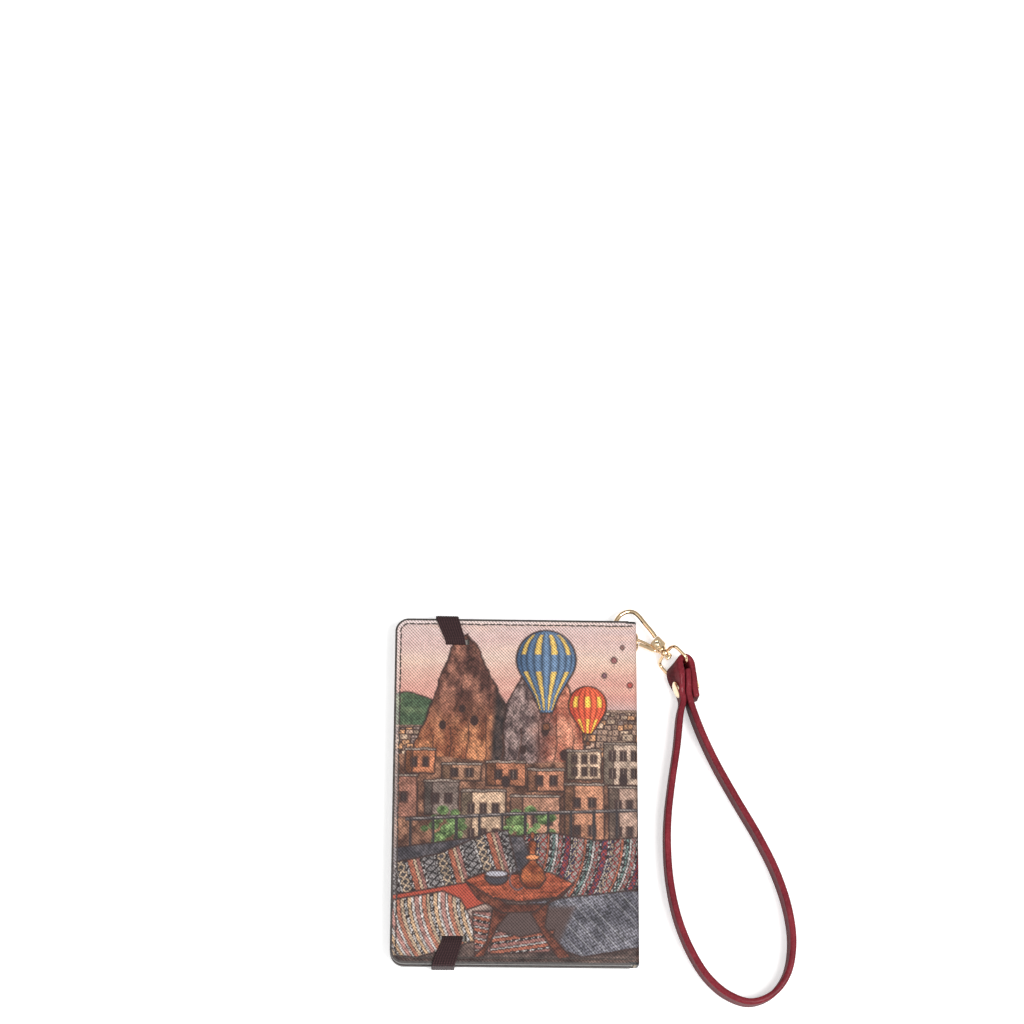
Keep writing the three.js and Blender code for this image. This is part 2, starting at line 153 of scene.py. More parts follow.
def distances(path):
    """How far along the line each of its points lies."""
    return np.concatenate([[0], np.cumsum(np.linalg.norm(np.diff(path, axis=0), axis=1))])


def at_distance(distance, along, path):
    """Points, or any values that run along a path, at one or more distances along it."""
    return np.stack([np.interp(distance, along, path[:, k]) for k in range(path.shape[1])], axis=-1)


def resample(path, step):
    """The same line with even spacing of about step."""
    along = distances(path)
    count = max(int(round(along[-1] / step)), 2)
    return at_distance(np.linspace(0, along[-1], count + 1), along, path)


def tangents(path, looped=False):
    if looped:
        return unit(np.roll(path, -1, 0) - np.roll(path, 1, 0))
    return unit(np.gradient(path, axis=0))


def tube(path, radius, sides=20, looped=False, start=(0, 0, 1)):
    """A round wire along a path; radius is one number or one for each point."""
    path = np.asarray(path, float)
    way = tangents(path, looped)
    radius = np.broadcast_to(radius, (len(path),))
    side = np.cross(way[0], start)
    if np.linalg.norm(side) < 1e-3:
        side = np.cross(way[0], (1, 0, 0))
    side = unit(side)
    rings = []
    turn = np.linspace(0, 2 * math.pi, sides, endpoint=False)
    for point, forward, r in zip(path, way, radius):
        side = unit(side - forward * np.dot(side, forward))
        up = np.cross(forward, side)
        rings.append(point + r * (np.outer(np.cos(turn), side) + np.outer(np.sin(turn), up)))
    return loft(rings, looped)


def lathe(profile, origin, axis, sides=48):
    """A profile of (radius, height along axis), closed on the axis or on itself."""
    axis = unit(axis)
    other = (0, 0, 1) if abs(axis[2]) < 0.9 else (1, 0, 0)
    side = unit(np.cross(axis, other))
    up = np.cross(axis, side)
    turn = np.linspace(0, 2 * math.pi, sides, endpoint=False)
    ring = np.outer(np.cos(turn), side) + np.outer(np.sin(turn), up)
    profile = np.asarray(profile, float)
    closed = profile[0, 0] > 1e-6
    rings = [np.asarray(origin) + max(r, 1e-3) * ring + h * axis for r, h in profile]
    if closed and np.allclose(profile[0], profile[-1]):
        return loft(rings[:-1], True)
    return loft(rings)


def rounded_box(low, high, radius, steps=3):
    """A box with rounded edges, as closed verts and faces."""
    bm = bmesh.new()
    bmesh.ops.create_cube(bm, size=1)
    low, high = Vector(low), Vector(high)
    for v in bm.verts:
        v.co = Vector(((v.co[k] + 0.5) * (high[k] - low[k]) + low[k]) for k in range(3))
    bmesh.ops.bevel(bm, geom=bm.edges[:], offset=radius, segments=steps, profile=0.5, affect="EDGES")
    bm.verts.index_update()
    verts = np.array([v.co for v in bm.verts])
    faces = [tuple(v.index for v in f.verts) for f in bm.faces]
    bm.free()
    return verts, faces


def filleted(corners, radius, steps=6):
    """A polyline in any number of dimensions with its inner corners rounded."""
    p = np.asarray(corners, float)
    out = [p[0]]
    for before, here, after in zip(p[:-2], p[1:-1], p[2:]):
        a, b = before - here, after - here
        cut = min(radius, 0.45 * np.linalg.norm(a), 0.45 * np.linalg.norm(b))
        first, last = here + unit(a) * cut, here + unit(b) * cut
        for k in range(steps + 1):
            t = k / steps
            out.append((1 - t) ** 2 * first + 2 * t * (1 - t) * here + t ** 2 * last)
    out.append(p[-1])
    return np.array(out)


def smoothstep(low, high, x):
    t = np.clip((x - low) / (high - low), 0, 1)
    return t * t * (3 - 2 * t)


# ---------------------------------------------------------------- materials
class Look:
    """A Principled material with short calls for its nodes."""

    def __init__(self, name, **values):
        self.mat = bpy.data.materials.new(name)
        self.mat.use_nodes = True
        self.tree = self.mat.node_tree
        self.bsdf = self.tree.nodes["Principled BSDF"]
        for key, value in values.items():
            socket = key.replace("_", " ").title().replace("Ior", "IOR")
            self.bsdf.inputs[socket].default_value = value

    def node(self, kind, **inputs):
        node = self.tree.nodes.new("ShaderNode" + kind)
        for key, value in inputs.items():
            if hasattr(node, key) and key not in node.inputs:
                setattr(node, key, value)
                continue
            socket = node.inputs[int(key[1:]) if key[0] == "i" and key[1:].isdigit() else key]
            self.feed(socket, value)
        return node

    def feed(self, socket, value):
        if isinstance(value, bpy.types.NodeSocket):
            self.tree.links.new(value, socket)
        else:
            socket.default_value = value

    def math(self, operation, a, b=0.0, c=0.0):
        return self.node("Math", operation=operation, i0=a, i1=b, i2=c).outputs[0]

    def place(self, attribute=None):
        """Millimetre coordinates: the row frame's, or a stored flat attribute's."""
        if attribute:
            return self.node("Attribute", attribute_name=attribute).outputs["Vector"]
        co = self.node("TexCoord").outputs["Object"]
        return self.node("VectorMath", operation="SCALE", i0=co, Scale=1000.0).outputs[0]

    def noise(self, at, scale, detail=3.0, roughness=0.55):
        return self.node("TexNoise", Vector=at, Scale=scale, Detail=detail,
                         Roughness=roughness).outputs["Fac"]

    def along(self, at, direction):
        return self.node("VectorMath", operation="DOT_PRODUCT", i0=at, i1=direction).outputs["Value"]

    def ridges(self, at, direction, pitch, wobble=None, amount=0.0):
        """A sine from 0 to 1 across parallel lines of the given pitch."""
        phase = self.math("MULTIPLY", self.along(at, direction), 2 * math.pi / pitch)
        if wobble is not None:
            phase = self.math("MULTIPLY_ADD", wobble, amount, phase)
        return self.math("MULTIPLY_ADD", self.math("SINE", phase), 0.5, 0.5)

    def ramp(self, value, *stops):
        node = self.node("ValToRGB", Fac=value)
        ramp = node.color_ramp
        while len(ramp.elements) < len(stops):
            ramp.elements.new(0.5)
        for element, (position, colour) in zip(ramp.elements, stops):
            element.position = position
            element.color = (*colour, 1)
        return node.outputs["Color"]

    def range(self, value, low, high):
        return self.node("MapRange", Value=value, **{"To Min": low, "To Max": high}).outputs[0]

    def mix(self, factor, a, b, mode="MIX"):
        node = self.node("Mix", data_type="RGBA", blend_type=mode)
        self.feed(node.inputs[0], factor)
        for socket, value in ((node.inputs[6], a), (node.inputs[7], b)):
            self.feed(socket, (*value, 1) if isinstance(value, tuple) and len(value) == 3 else value)
        return node.outputs[2]

    def bump(self, height, depth_mm, strength=1.0):
        return self.node("Bump", Height=height, Distance=depth_mm * MM, Strength=strength).outputs[0]

    def done(self, colour=None, roughness=None, normal=None):
        for name, value in (("Base Color", colour), ("Roughness", roughness), ("Normal", normal)):
            if value is not None:
                self.tree.links.new(value, self.bsdf.inputs[name])
        return self.mat


def linear(r, g, b):
    """A display colour of 0 to 255 as linear light."""
    return tuple(((c / 255 + 0.055) / 1.055) ** 2.4 if c > 10 else c / 3294 for c in (r, g, b))


HATCH_A = (0.727, 0.687, 0.0)    # across the long diagonal lines of the embossing
HATCH_B = (0.687, -0.727, 0.0)   # across the short ones
HATCH_PITCH = 0.94
RIB_PITCH = 1.04                 # between the elastic's lengthwise ribs


def printed_look():
    look = Look("printed_leather", specular_ior_level=0.25)
    at = look.place("skin_mm")
    drift = look.noise(at, 0.06, 2.0)
    patches = look.noise(at, 0.16, 2.0)
    long_lines = look.ridges(at, HATCH_A, HATCH_PITCH, drift, 2.5)
    short_lines = look.ridges(at, HATCH_B, HATCH_PITCH * 1.12, drift, 4.0)
    crossing = look.math("MULTIPLY", short_lines, look.range(patches, 0.0, 0.5))
    hatch = look.math("ADD", look.math("MULTIPLY", long_lines, 0.72), crossing)
    fine = look.noise(at, 1.6, 4.0)
    picture = look.node("Attribute", attribute_name="print_colour").outputs["Color"]
    # Painted shade and highlight: the embossed lines are darkened in their grooves and lightened on their
    # ridges in the colour itself, on top of their bump.
    shade = look.ramp(hatch, (0.1, (0.40, 0.34, 0.33)), (0.42, (0.96, 0.95, 0.95)),
                      (0.9, (1.26, 1.25, 1.25)))
    colour = look.mix(1.0, picture, shade, "MULTIPLY")
    colour = look.mix(0.2, colour, look.ramp(fine, (0.3, (0.1, 0.1, 0.1)), (0.7, (0.9, 0.9, 0.9))),
                      "OVERLAY")
    height = look.math("MULTIPLY_ADD", fine, 0.25, hatch)
    return look.done(colour, look.range(hatch, 0.55, 0.38), look.bump(height, 0.06, 0.7))


def edge_look():
    look = Look("edge_paint", roughness=0.4)
    at = look.place()
    mottle = look.noise(at, 0.9, 4.0)
    colour = look.ramp(mottle, (0.3, linear(44, 39, 38)), (0.7, linear(74, 66, 62)))
    return look.done(colour, look.range(mottle, 0.3, 0.55), look.bump(look.noise(at, 1.6, 3.0), 0.08, 0.6))


def thread_look(name, dark, light):
    look = Look(name, roughness=0.75)
    at = look.place()
    twist = look.ridges(at, unit((1.0, 1.0, 0.3)), 0.42)
    colour = look.ramp(twist, (0.2, dark), (0.8, light))
    return look.done(colour, None, look.bump(twist, 0.06, 0.8))


def lining_look(name, dark, light, pitch=0.55, attribute=None):
    """Plain woven cloth."""
    look = Look(name, roughness=0.85, sheen_weight=0.15)
    at = look.place(attribute)
    drift = look.noise(at, 0.4, 2.0)
    warp = look.ridges(at, (1, 0, 0), pitch, drift, 1.5)
    weft = look.ridges(at, (0, 1, 0), pitch, drift, 1.5)
    weave = look.math("MULTIPLY", warp, weft)
    cloud = look.noise(at, 0.12, 4.0)
    tone = look.math("MULTIPLY_ADD", cloud, 0.6, look.math("MULTIPLY", weave, 0.5))
    colour = look.ramp(tone, (0.15, dark), (0.75, light))
    return look.done(colour, None, look.bump(weave, 0.05, 0.7))


def board_look():
    look = Look("grey_board", roughness=0.9)
    at = look.place()
    flecks = look.noise(at, 2.2, 5.0)
    colour = look.ramp(flecks, (0.3, linear(128, 118, 104)), (0.7, linear(168, 157, 140)))
    return look.done(colour, None, look.bump(flecks, 0.05, 0.6))


def elastic_look():
    look = Look("ribbed_elastic", roughness=0.85, specular_ior_level=0.25, sheen_weight=0.08,
                sheen_roughness=0.5)
    at = look.place("band_mm")
    ribs = look.ridges(at, (1, 0, 0), RIB_PITCH)
    picks = look.ridges(at, (0, 1, 0), 0.62)
    slant = look.ridges(at, unit((1.0, 0.8, 0.0)), 0.5)
    fuzz = look.noise(at, 2.5, 4.0)
    weave = look.math("MULTIPLY_ADD", slant, 0.5, look.math("MULTIPLY", picks, 0.5))
    tone = look.math("MULTIPLY_ADD", fuzz, 0.5, look.math("MULTIPLY", weave, 0.5))
    colour = look.ramp(tone, (0.2, linear(34, 20, 22)), (0.55, linear(54, 34, 37)),
                       (0.85, linear(92, 66, 66)))
    # Painted shade and highlight: the colour is darkened in narrow lines between the ribs and lightened on
    # the ribs.
    painted_rib_shade = look.ramp(ribs, (0.05, (0.4, 0.4, 0.4)), (0.5, (1.0, 1.0, 1.0)), (0.95, (1.2, 1.2, 1.2)))
    colour = look.mix(1.0, colour, painted_rib_shade, "MULTIPLY")
    return look.done(colour, None, look.bump(weave, 0.09, 0.8))


def strap_look():
    look = Look("burgundy_leather", specular_ior_level=0.0, coat_weight=0.2, coat_roughness=0.22)
    at = look.place()
    cells = look.node("TexVoronoi", Vector=at, Scale=1.15, feature="F1").outputs["Distance"]
    big = look.noise(at, 0.08, 4.0)
    fine = look.noise(at, 2.4, 4.0)
    pebble = look.math("MULTIPLY_ADD", fine, 0.35, cells)
    tone = look.math("MULTIPLY_ADD", big, 0.6, look.math("MULTIPLY", fine, 0.5))
    colour = look.ramp(tone, (0.3, linear(74, 21, 28)), (0.6, linear(112, 34, 42)),
                       (0.85, linear(136, 51, 58)))
    worn = look.ramp(cells, (0.55, (0, 0, 0)), (0.85, (0.12, 0.12, 0.12)))
    colour = look.mix(worn, colour, linear(168, 80, 88))
    # Painted light: the colour grows darker lower down and lighter along the strap's upper edge, by height,
    # standing in for light from above.
    height = look.math("MULTIPLY", look.along(at, (0, 0, 1)), 0.08)
    painted_top_light = look.ramp(height, (0.62, (0.62, 0.64, 0.66)), (0.75, (1.0, 1.0, 1.0)), (0.85, (1.22, 1.28, 1.28)))
    colour = look.mix(1.0, colour, painted_top_light, "MULTIPLY")
    return look.done(colour, look.range(fine, 0.22, 0.4), look.bump(pebble, 0.1, 0.6))


def gold_look(name="pale_gold", base=(236, 206, 166), roughness=0.13):
    look = Look(name, metallic=1.0)
    at = look.place()
    cloud = look.noise(at, 0.25, 3.0)
    scuffs = look.noise(at, 2.5, 5.0)
    light = linear(*base)
    dark = tuple(c * 0.86 for c in light)
    colour = look.ramp(cloud, (0.3, dark), (0.7, light))
    rough = look.range(scuffs, roughness * 0.7, roughness * 1.5)
    return look.done(colour, rough, look.bump(scuffs, 0.01, 0.4))


def steel_look():
    look = Look("spring_steel", metallic=1.0)
    at = look.place()
    brushed = look.ridges(at, (0.3, 0.2, 1.0), 0.12, look.noise(at, 1.0), 6.0)
    colour = look.ramp(brushed, (0.2, linear(168, 166, 160)), (0.8, linear(205, 203, 198)))
    return look.done(colour, look.range(brushed, 0.22, 0.38), look.bump(brushed, 0.01, 0.4))


PRINTED = printed_look()
EDGE_PAINT = edge_look()
THREAD = thread_look("dark_thread", linear(40, 34, 33), linear(92, 82, 78))
PALE_THREAD = thread_look("grey_thread", linear(120, 112, 106), linear(176, 168, 160))
LINING = lining_look("grey_lining", linear(150, 144, 138), linear(196, 190, 184), attribute="skin_mm")
POCKET = lining_look("grey_pocket_cloth", linear(142, 136, 131), linear(188, 182, 176))
BOARD = board_look()
ELASTIC = elastic_look()
STRAP = strap_look()
GOLD = gold_look()
BRIGHT = gold_look("polished_gold", (242, 220, 186), 0.1)
STEEL = steel_look()


# ---------------------------------------------------------------- the printed picture
# A made-up evening view from a terrace: banded sky, rounded rock cones, striped balloons, stone houses,
# a railing, woven cushions, a low table and a rug. U runs along the skin from the front cover's fore
# edge (-50) over the spine to the back cover; V is Y.
RANDOM = np.random.default_rng(7)
LATTICE = RANDOM.random((64, 64))


def cloud(u, v, size, stretch=1.0, octaves=3, shift=0.0):
    """Smooth value noise from 0 to 1."""
    total, weight = np.zeros_like(u), 0.0
    for k in range(octaves):
        x, y = (u + shift) / (size * stretch) * 2 ** k, (v - shift) / size * 2 ** k
        ix, iy = np.floor(x).astype(int), np.floor(y).astype(int)
        fx, fy = x - ix, y - iy
        fx, fy = fx * fx * (3 - 2 * fx), fy * fy * (3 - 2 * fy)
        a, b = LATTICE[ix % 64, iy % 64], LATTICE[(ix + 1) % 64, iy % 64]
        c, d = LATTICE[ix % 64, (iy + 1) % 64], LATTICE[(ix + 1) % 64, (iy + 1) % 64]
        total += 0.5 ** k * ((a * (1 - fx) + b * fx) * (1 - fy) + (c * (1 - fx) + d * fx) * fy)
        weight += 0.5 ** k
    return total / weight


def rect(u0, v0, u1, v1):
    """The corners of an upright rectangle."""
    return [(u0, v0), (u1, v0), (u1, v1), (u0, v1)]


class Painting:
    INK = np.array([58, 42, 40], float)

    def __init__(self, u, v):
        self.u, self.v = u.astype(float), v.astype(float)
        self.rgb = np.zeros((len(u), 3))

    def near(self, u0, v0, u1, v1, margin=1.0):
        return np.nonzero((self.u > u0 - margin) & (self.u < u1 + margin)
                          & (self.v > v0 - margin) & (self.v < v1 + margin))[0]

    def lay(self, where, mask, colour):
        mask = mask[:, None]
        self.rgb[where] = self.rgb[where] * (1 - mask) + np.asarray(colour, float) * mask

    def shape(self, corners, colour, ink=0.3, soft=0.25, rough=0.0):
        """Fills a polygon; colour is one colour or a function of (u, v), and ink outlines it."""
        p = np.asarray(corners, float)
        at = self.near(*p.min(0), *p.max(0))
        if not len(at):
            return
        u, v = self.u[at], self.v[at]
        if rough:
            u = u + rough * (cloud(self.u[at], self.v[at], 3.0) - 0.5) * 2
            v = v + rough * (cloud(self.u[at], self.v[at], 3.0, shift=40) - 0.5) * 2
        best = np.full(len(at), 1e9)
        inside = np.zeros(len(at), bool)
        for (x0, y0), (x1, y1) in zip(p, np.roll(p, -1, 0)):
            ex, ey = x1 - x0, y1 - y0
            t = np.clip(((u - x0) * ex + (v - y0) * ey) / max(ex * ex + ey * ey, 1e-9), 0, 1)
            best = np.minimum(best, np.hypot(u - x0 - t * ex, v - y0 - t * ey))
            crosses = (y0 > v) != (y1 > v)
            slope = np.where(abs(ey) > 1e-9, ex / (ey if abs(ey) > 1e-9 else 1e-9), 0)
            inside ^= crosses & (u < (v - y0) * slope + x0)
        distance = np.where(inside, -best, best)
        fill = colour(self.u[at], self.v[at]) if callable(colour) else np.asarray(colour, float)
        self.lay(at, 1 - smoothstep(-soft, soft, distance), fill)
        if ink:
            self.lay(at, 0.85 * (1 - smoothstep(ink * 0.6, ink + soft, abs(distance))), self.INK)

    def disc(self, x, y, rx, ry, colour, ink=0.25, steps=28):
        turn = np.linspace(0, 2 * math.pi, steps, endpoint=False)
        self.shape(np.stack([x + rx * np.cos(turn), y + ry * np.sin(turn)], 1), colour, ink)

    def line(self, points, width, colour, soft=0.2):
        p = np.asarray(points, float)
        at = self.near(*p.min(0), *p.max(0), margin=width + 1)
        best = np.full(len(at), 1e9)
        for (x0, y0), (x1, y1) in zip(p[:-1], p[1:]):
            ex, ey = x1 - x0, y1 - y0
            t = np.clip(((self.u[at] - x0) * ex + (self.v[at] - y0) * ey) / (ex * ex + ey * ey + 1e-9),
                        0, 1)
            best = np.minimum(best, np.hypot(self.u[at] - x0 - t * ex, self.v[at] - y0 - t * ey))
        self.lay(at, 1 - smoothstep(width / 2 - soft, width / 2 + soft, best), colour)


def mottled(dark, light, size=4.0, stretch=1.0, veins=0.18):
    """Two tones in soft patches, with thin dark contour lines and fine grain."""
    dark, light = np.array(dark, float), np.array(light, float)

    def colour(u, v):
        t = np.clip(cloud(u, v, size, stretch, 4, shift=dark[0]) * 2.8 - 0.95, 0, 1)[:, None]
        contour = abs(cloud(u, v, size * 0.9, stretch, 3, shift=light[1]) - 0.5)
        line = 1 - smoothstep(0.01, 0.05, contour)
        grain = 0.9 + 0.55 * (cloud(u, v, 0.8, 1.0, 2, shift=light[0]) - 0.5)
        return (dark * (1 - t) + light * t) * (grain * (1 - veins * line))[:, None]
    return colour


def blended(first, second, low, high, axis=0):
    """One colouring turning into another between two values of U or V."""
    def colour(u, v):
        t = smoothstep(low, high, (u, v)[axis] + 6 * (cloud(u, v, 6.0) - 0.5))[:, None]
        return first(u, v) * (1 - t) + second(u, v) * t
    return colour


def woven(bands, across, along, pitch=1.35):
    """Stripes of cloth: bands are (width, colour, second colour); marked bands carry a zigzag."""
    widths = np.array([b[0] for b in bands], float)
    edges = np.concatenate([[0], np.cumsum(widths)])

    def colour(u, v):
        s, t = across(u, v), along(u, v)
        place = np.mod(s, edges[-1])
        index = np.clip(np.searchsorted(edges, place, side="right") - 1, 0, len(bands) - 1)
        out = np.zeros((len(u), 3))
        for k, (width, base, mark) in enumerate(bands):
            here = index == k
            if not here.any():
                continue
            inner = (place[here] - edges[k]) / width
            out[here] = base
            if mark is not None:
                zigzag = abs(np.mod(t[here] / (pitch * 2.2) + 0.37 * k, 1) * 2 - 1)
                marked = abs(abs(inner - 0.5) * 2 - zigzag) < 0.24
                rows = np.nonzero(here)[0][marked]
                out[rows] = mark
        gap = np.minimum(abs(place - edges[index]), abs(place - edges[index + 1])) < 0.16
        out[gap] = (64, 50, 50)
        return out * (0.84 + 0.5 * (cloud(u, v, 1.3) - 0.5))[:, None]
    return colour


TERRACOTTA, CREAM, BLACK, WHITE = (178, 106, 84), (206, 180, 152), (50, 44, 46), (198, 192, 188)
ROSE, TEAL, NAVY, RED = (170, 118, 110), (126, 152, 146), (70, 62, 92), (158, 64, 60)


def paint_sky(art):
    stops = [(71, (206, 186, 182)), (62, (208, 178, 172)), (54, (216, 190, 176)), (47, (210, 168, 154)),
             (40, (204, 148, 136)), (34, (200, 156, 148)), (28, (186, 174, 176)), (-80, (160, 134, 118))]
    level = art.v + 5.0 * (cloud(art.u, art.v, 5.0, 7.0) - 0.5) - 0.03 * art.u
    heights = np.array([s[0] for s in stops][::-1], float)
    for k in range(3):
        art.rgb[:, k] = np.interp(level, heights, np.array([s[1][k] for s in stops][::-1], float))
    streaks = smoothstep(0.52, 0.75, cloud(art.u, art.v, 3.2, 9.0, shift=15)) * smoothstep(30, 45, art.v)
    art.lay(np.arange(len(art.u)), 0.35 * streaks, (226, 190, 168))


def paint_balloon(art, x, y, r, drop, base, dark, patch, gores=9, rows=()):
    """A striped envelope that tapers to its mouth, with a basket."""
    turn = np.linspace(math.radians(-28), math.radians(208), 26)
    outline = [(x + r * math.cos(a), y + r * math.sin(a)) for a in turn]
    outline += [(x - 0.42 * r, y - 1.25 * r), (x - 0.2 * r, y - drop + 1), (x + 0.2 * r, y - drop + 1),
                (x + 0.42 * r, y - 1.25 * r)]
    base, dark, patch = (np.array(c, float) for c in (base, dark, patch))

    def half_width(v):
        h = (v - y) / r
        round_part = np.sqrt(np.clip(1 - h * h, 0.01, 1))
        taper = np.interp(v, [y - drop, y - 1.25 * r, y - 0.47 * r], [0.18, 0.42, 0.88])
        return r * np.where(h > -0.47, round_part, taper)

    def colour(u, v):
        place = np.clip((u - x) / half_width(v), -1, 1)
        gore = (np.arcsin(place) / math.pi + 0.5) * gores
        inside = np.mod(gore, 1)
        light = (0.55 + 0.45 * np.cos((place - 0.25) * 1.6))[:, None]
        out = dark * (1 - light) + base * light
        odd = np.mod(np.floor(gore), 2) == 0
        for low, high in rows:
            h = (v - y) / r
            marked = odd & (abs(inside - 0.5) < 0.4) & (h > low) & (h < high)
            out[marked] = (patch * (0.78 + 0.22 * light))[marked]
        pleat = 0.58 + 0.56 * np.sin(math.pi * inside) ** 0.7
        return out * (pleat * (0.9 + 0.2 * cloud(u, v, 1.4)))[:, None]
    art.shape(outline, colour, 0.25)
    for side in (-1, 1):
        rope = [(x + side * 0.18 * r, y - drop + 1), (x + side * 0.07 * r, y - drop - 0.28 * r)]
        art.line(rope, 0.3, Painting.INK)
    w = 0.12 * r
    low = y - drop - 0.5 * r
    art.shape(rect(x - w, low, x + w, low + 0.22 * r), (120, 78, 58), 0.2)


def paint_house(art, u0, v0, u1, v1, wall, roof=(188, 170, 156), windows=2, rows=1, arch=False):
    """A house with a shaded side on its left, a flat roof and rows of framed windows."""
    wall, roof = np.array(wall), np.array(roof)
    art.shape(rect(u0, v0, u1, v1), mottled(wall * 0.9, wall * 1.12, 6.0, veins=0.1), 0.3, rough=0.35)
    corner = u0 + 0.24 * (u1 - u0)
    art.shape(rect(u0, v0, corner, v1), mottled(wall * 0.52, wall * 0.72, 5.0, veins=0.1), 0.2, rough=0.35)
    art.shape([(u0 - 0.5, v1 - 0.5), (u1 + 0.5, v1 - 0.5), (u1 + 0.2, v1 + 0.5), (u0 - 0.2, v1 + 0.5)],
              mottled(roof * 0.8, roof, 4.0, veins=0.0), 0.15, rough=0.35)
    wide, tall = (u1 - u0) / (windows + 0.6), (v1 - v0) / (rows + 0.3)
    for i in range(windows):
        for j in range(rows):
            x = u0 + (i + 0.8) * wide
            y = v0 + (j + 0.62) * tall
            w, h = min(0.2 * wide, 1.2), min(0.27 * tall, 1.7)
            art.shape(rect(x - w - 0.4, y - h - 0.4, x + w + 0.4, y + h + 0.4),
                      np.minimum(wall * 1.14, 240), 0.15)
            art.shape(rect(x - w, y - h, x + w, y + h), (60, 48, 48), 0.1)
            art.line([(x, y - h), (x, y + h)], 0.2, (132, 112, 102))
    if arch:
        x = (u0 + u1) / 2
        art.disc(x, v0 + 1.8, 1.6, 2.3, (60, 46, 46), 0.2)


TOWN_WALLS = ((206, 178, 152), (182, 150, 130), (214, 160, 118), (160, 138, 128))


def paint_town(art, u0, u1, top, bottom, seed):
    """Rows of small far houses, smaller towards the skyline."""
    draw = np.random.default_rng(seed)
    at = art.near(u0, bottom, u1, top, 0.0)
    art.lay(at, smoothstep(0, 0.8, top - art.v[at] + 1.5 * cloud(art.u[at], art.v[at], 2.0)),
            mottled((116, 92, 84), (180, 150, 130), 3.0)(art.u[at], art.v[at]))
    level = top - 1.0
    while level > bottom:
        tall = 1.4 + (top - level) * 0.14
        u = u0
        while u < u1:
            wide = tall * draw.uniform(0.9, 2.0)
            tone = draw.uniform(0.78, 1.08)
            wall = draw.choice(TOWN_WALLS) * tone
            lift = draw.uniform(-0.5, 0.5)
            art.shape(rect(u, level - tall + lift, u + wide, level + lift), wall, 0.16, 0.2)
            door = rect(u + 0.3 * wide, level - 0.7 * tall + lift, u + 0.45 * wide,
                        level - 0.3 * tall + lift)
            art.shape(door, (70, 58, 58), 0, 0.2)
            u += wide * draw.uniform(0.9, 1.4)
        level -= tall * 0.95


LEAF_DARK, LEAF_LIGHT = np.array((84, 108, 66)), np.array((150, 180, 116))


def paint_shrub(art, x, y, rx, ry, seed):
    draw = np.random.default_rng(seed)
    for _ in range(26):
        a, d = draw.uniform(0, 6.28), draw.uniform(0, 1) ** 0.6
        cx, cy, r = x + rx * d * math.cos(a), y + ry * d * math.sin(a), draw.uniform(1.4, 2.6)
        tone = draw.uniform(0.75, 1.15)
        leaves = mottled(LEAF_DARK * tone, LEAF_LIGHT * tone, 1.4)
        art.disc(cx, cy, r, r * 0.8, leaves, 0.0, 12)


def paint_cones(art):
    brown = mottled((92, 60, 54), (178, 122, 102), 6.0, 0.55, 0.3)
    ochre = mottled((136, 80, 58), (222, 150, 106), 6.0, 0.6, 0.3)
    grey = mottled((88, 70, 70), (176, 150, 144), 2.8, 0.6, 0.4)
    coral = mottled((164, 88, 70), (236, 160, 130), 6.0, 0.6, 0.3)
    shade = mottled((46, 40, 42), (88, 72, 68), 2.4)
    art.shape([(-6, 5), (-8, 40), (-3, 34), (-1, 5)], shade, 0)
    art.shape([(-26.5, 59), (-24, 63), (-20, 64.5), (-16.5, 60), (-12, 50), (-6.5, 39), (-3.5, 33),
               (-4.5, 22), (-4, 2), (-44, 0), (-42, 16), (-38, 26), (-34, 36), (-31, 46)],
              blended(ochre, brown, 18, 42, 1), 0.3, rough=0.8)
    art.shape([(-8, 41), (-3.5, 33), (-4.5, 22), (-4, 2), (-11, 2), (-9.5, 24)], shade, 0, soft=1.6)
    art.shape([(-4.5, 33), (0, 42), (5, 52), (10, 60), (15, 58), (21, 44), (27, 26), (29, 4), (-4, 2),
               (-5, 20)],
              blended(grey, coral, 4, 20, 0), 0.3, rough=0.8)
    caves = ((-17, 28, 1.5), (-30, 26, 1.3), (-22, 33, 1.1), (12, 24, 1.4), (20, 14, 1.6), (3, 16, 1.2))
    for x, y, w in caves:
        art.disc(x, y, w, w * 1.35, (62, 44, 42), 0.2, 14)
    for k in range(9):
        x = -36 + 7.2 * k
        art.line([(x, 4), (x + 2.5, 14 + k % 3 * 4), (x + 2, 22 + k % 4 * 3)], 0.45, (74, 48, 42))


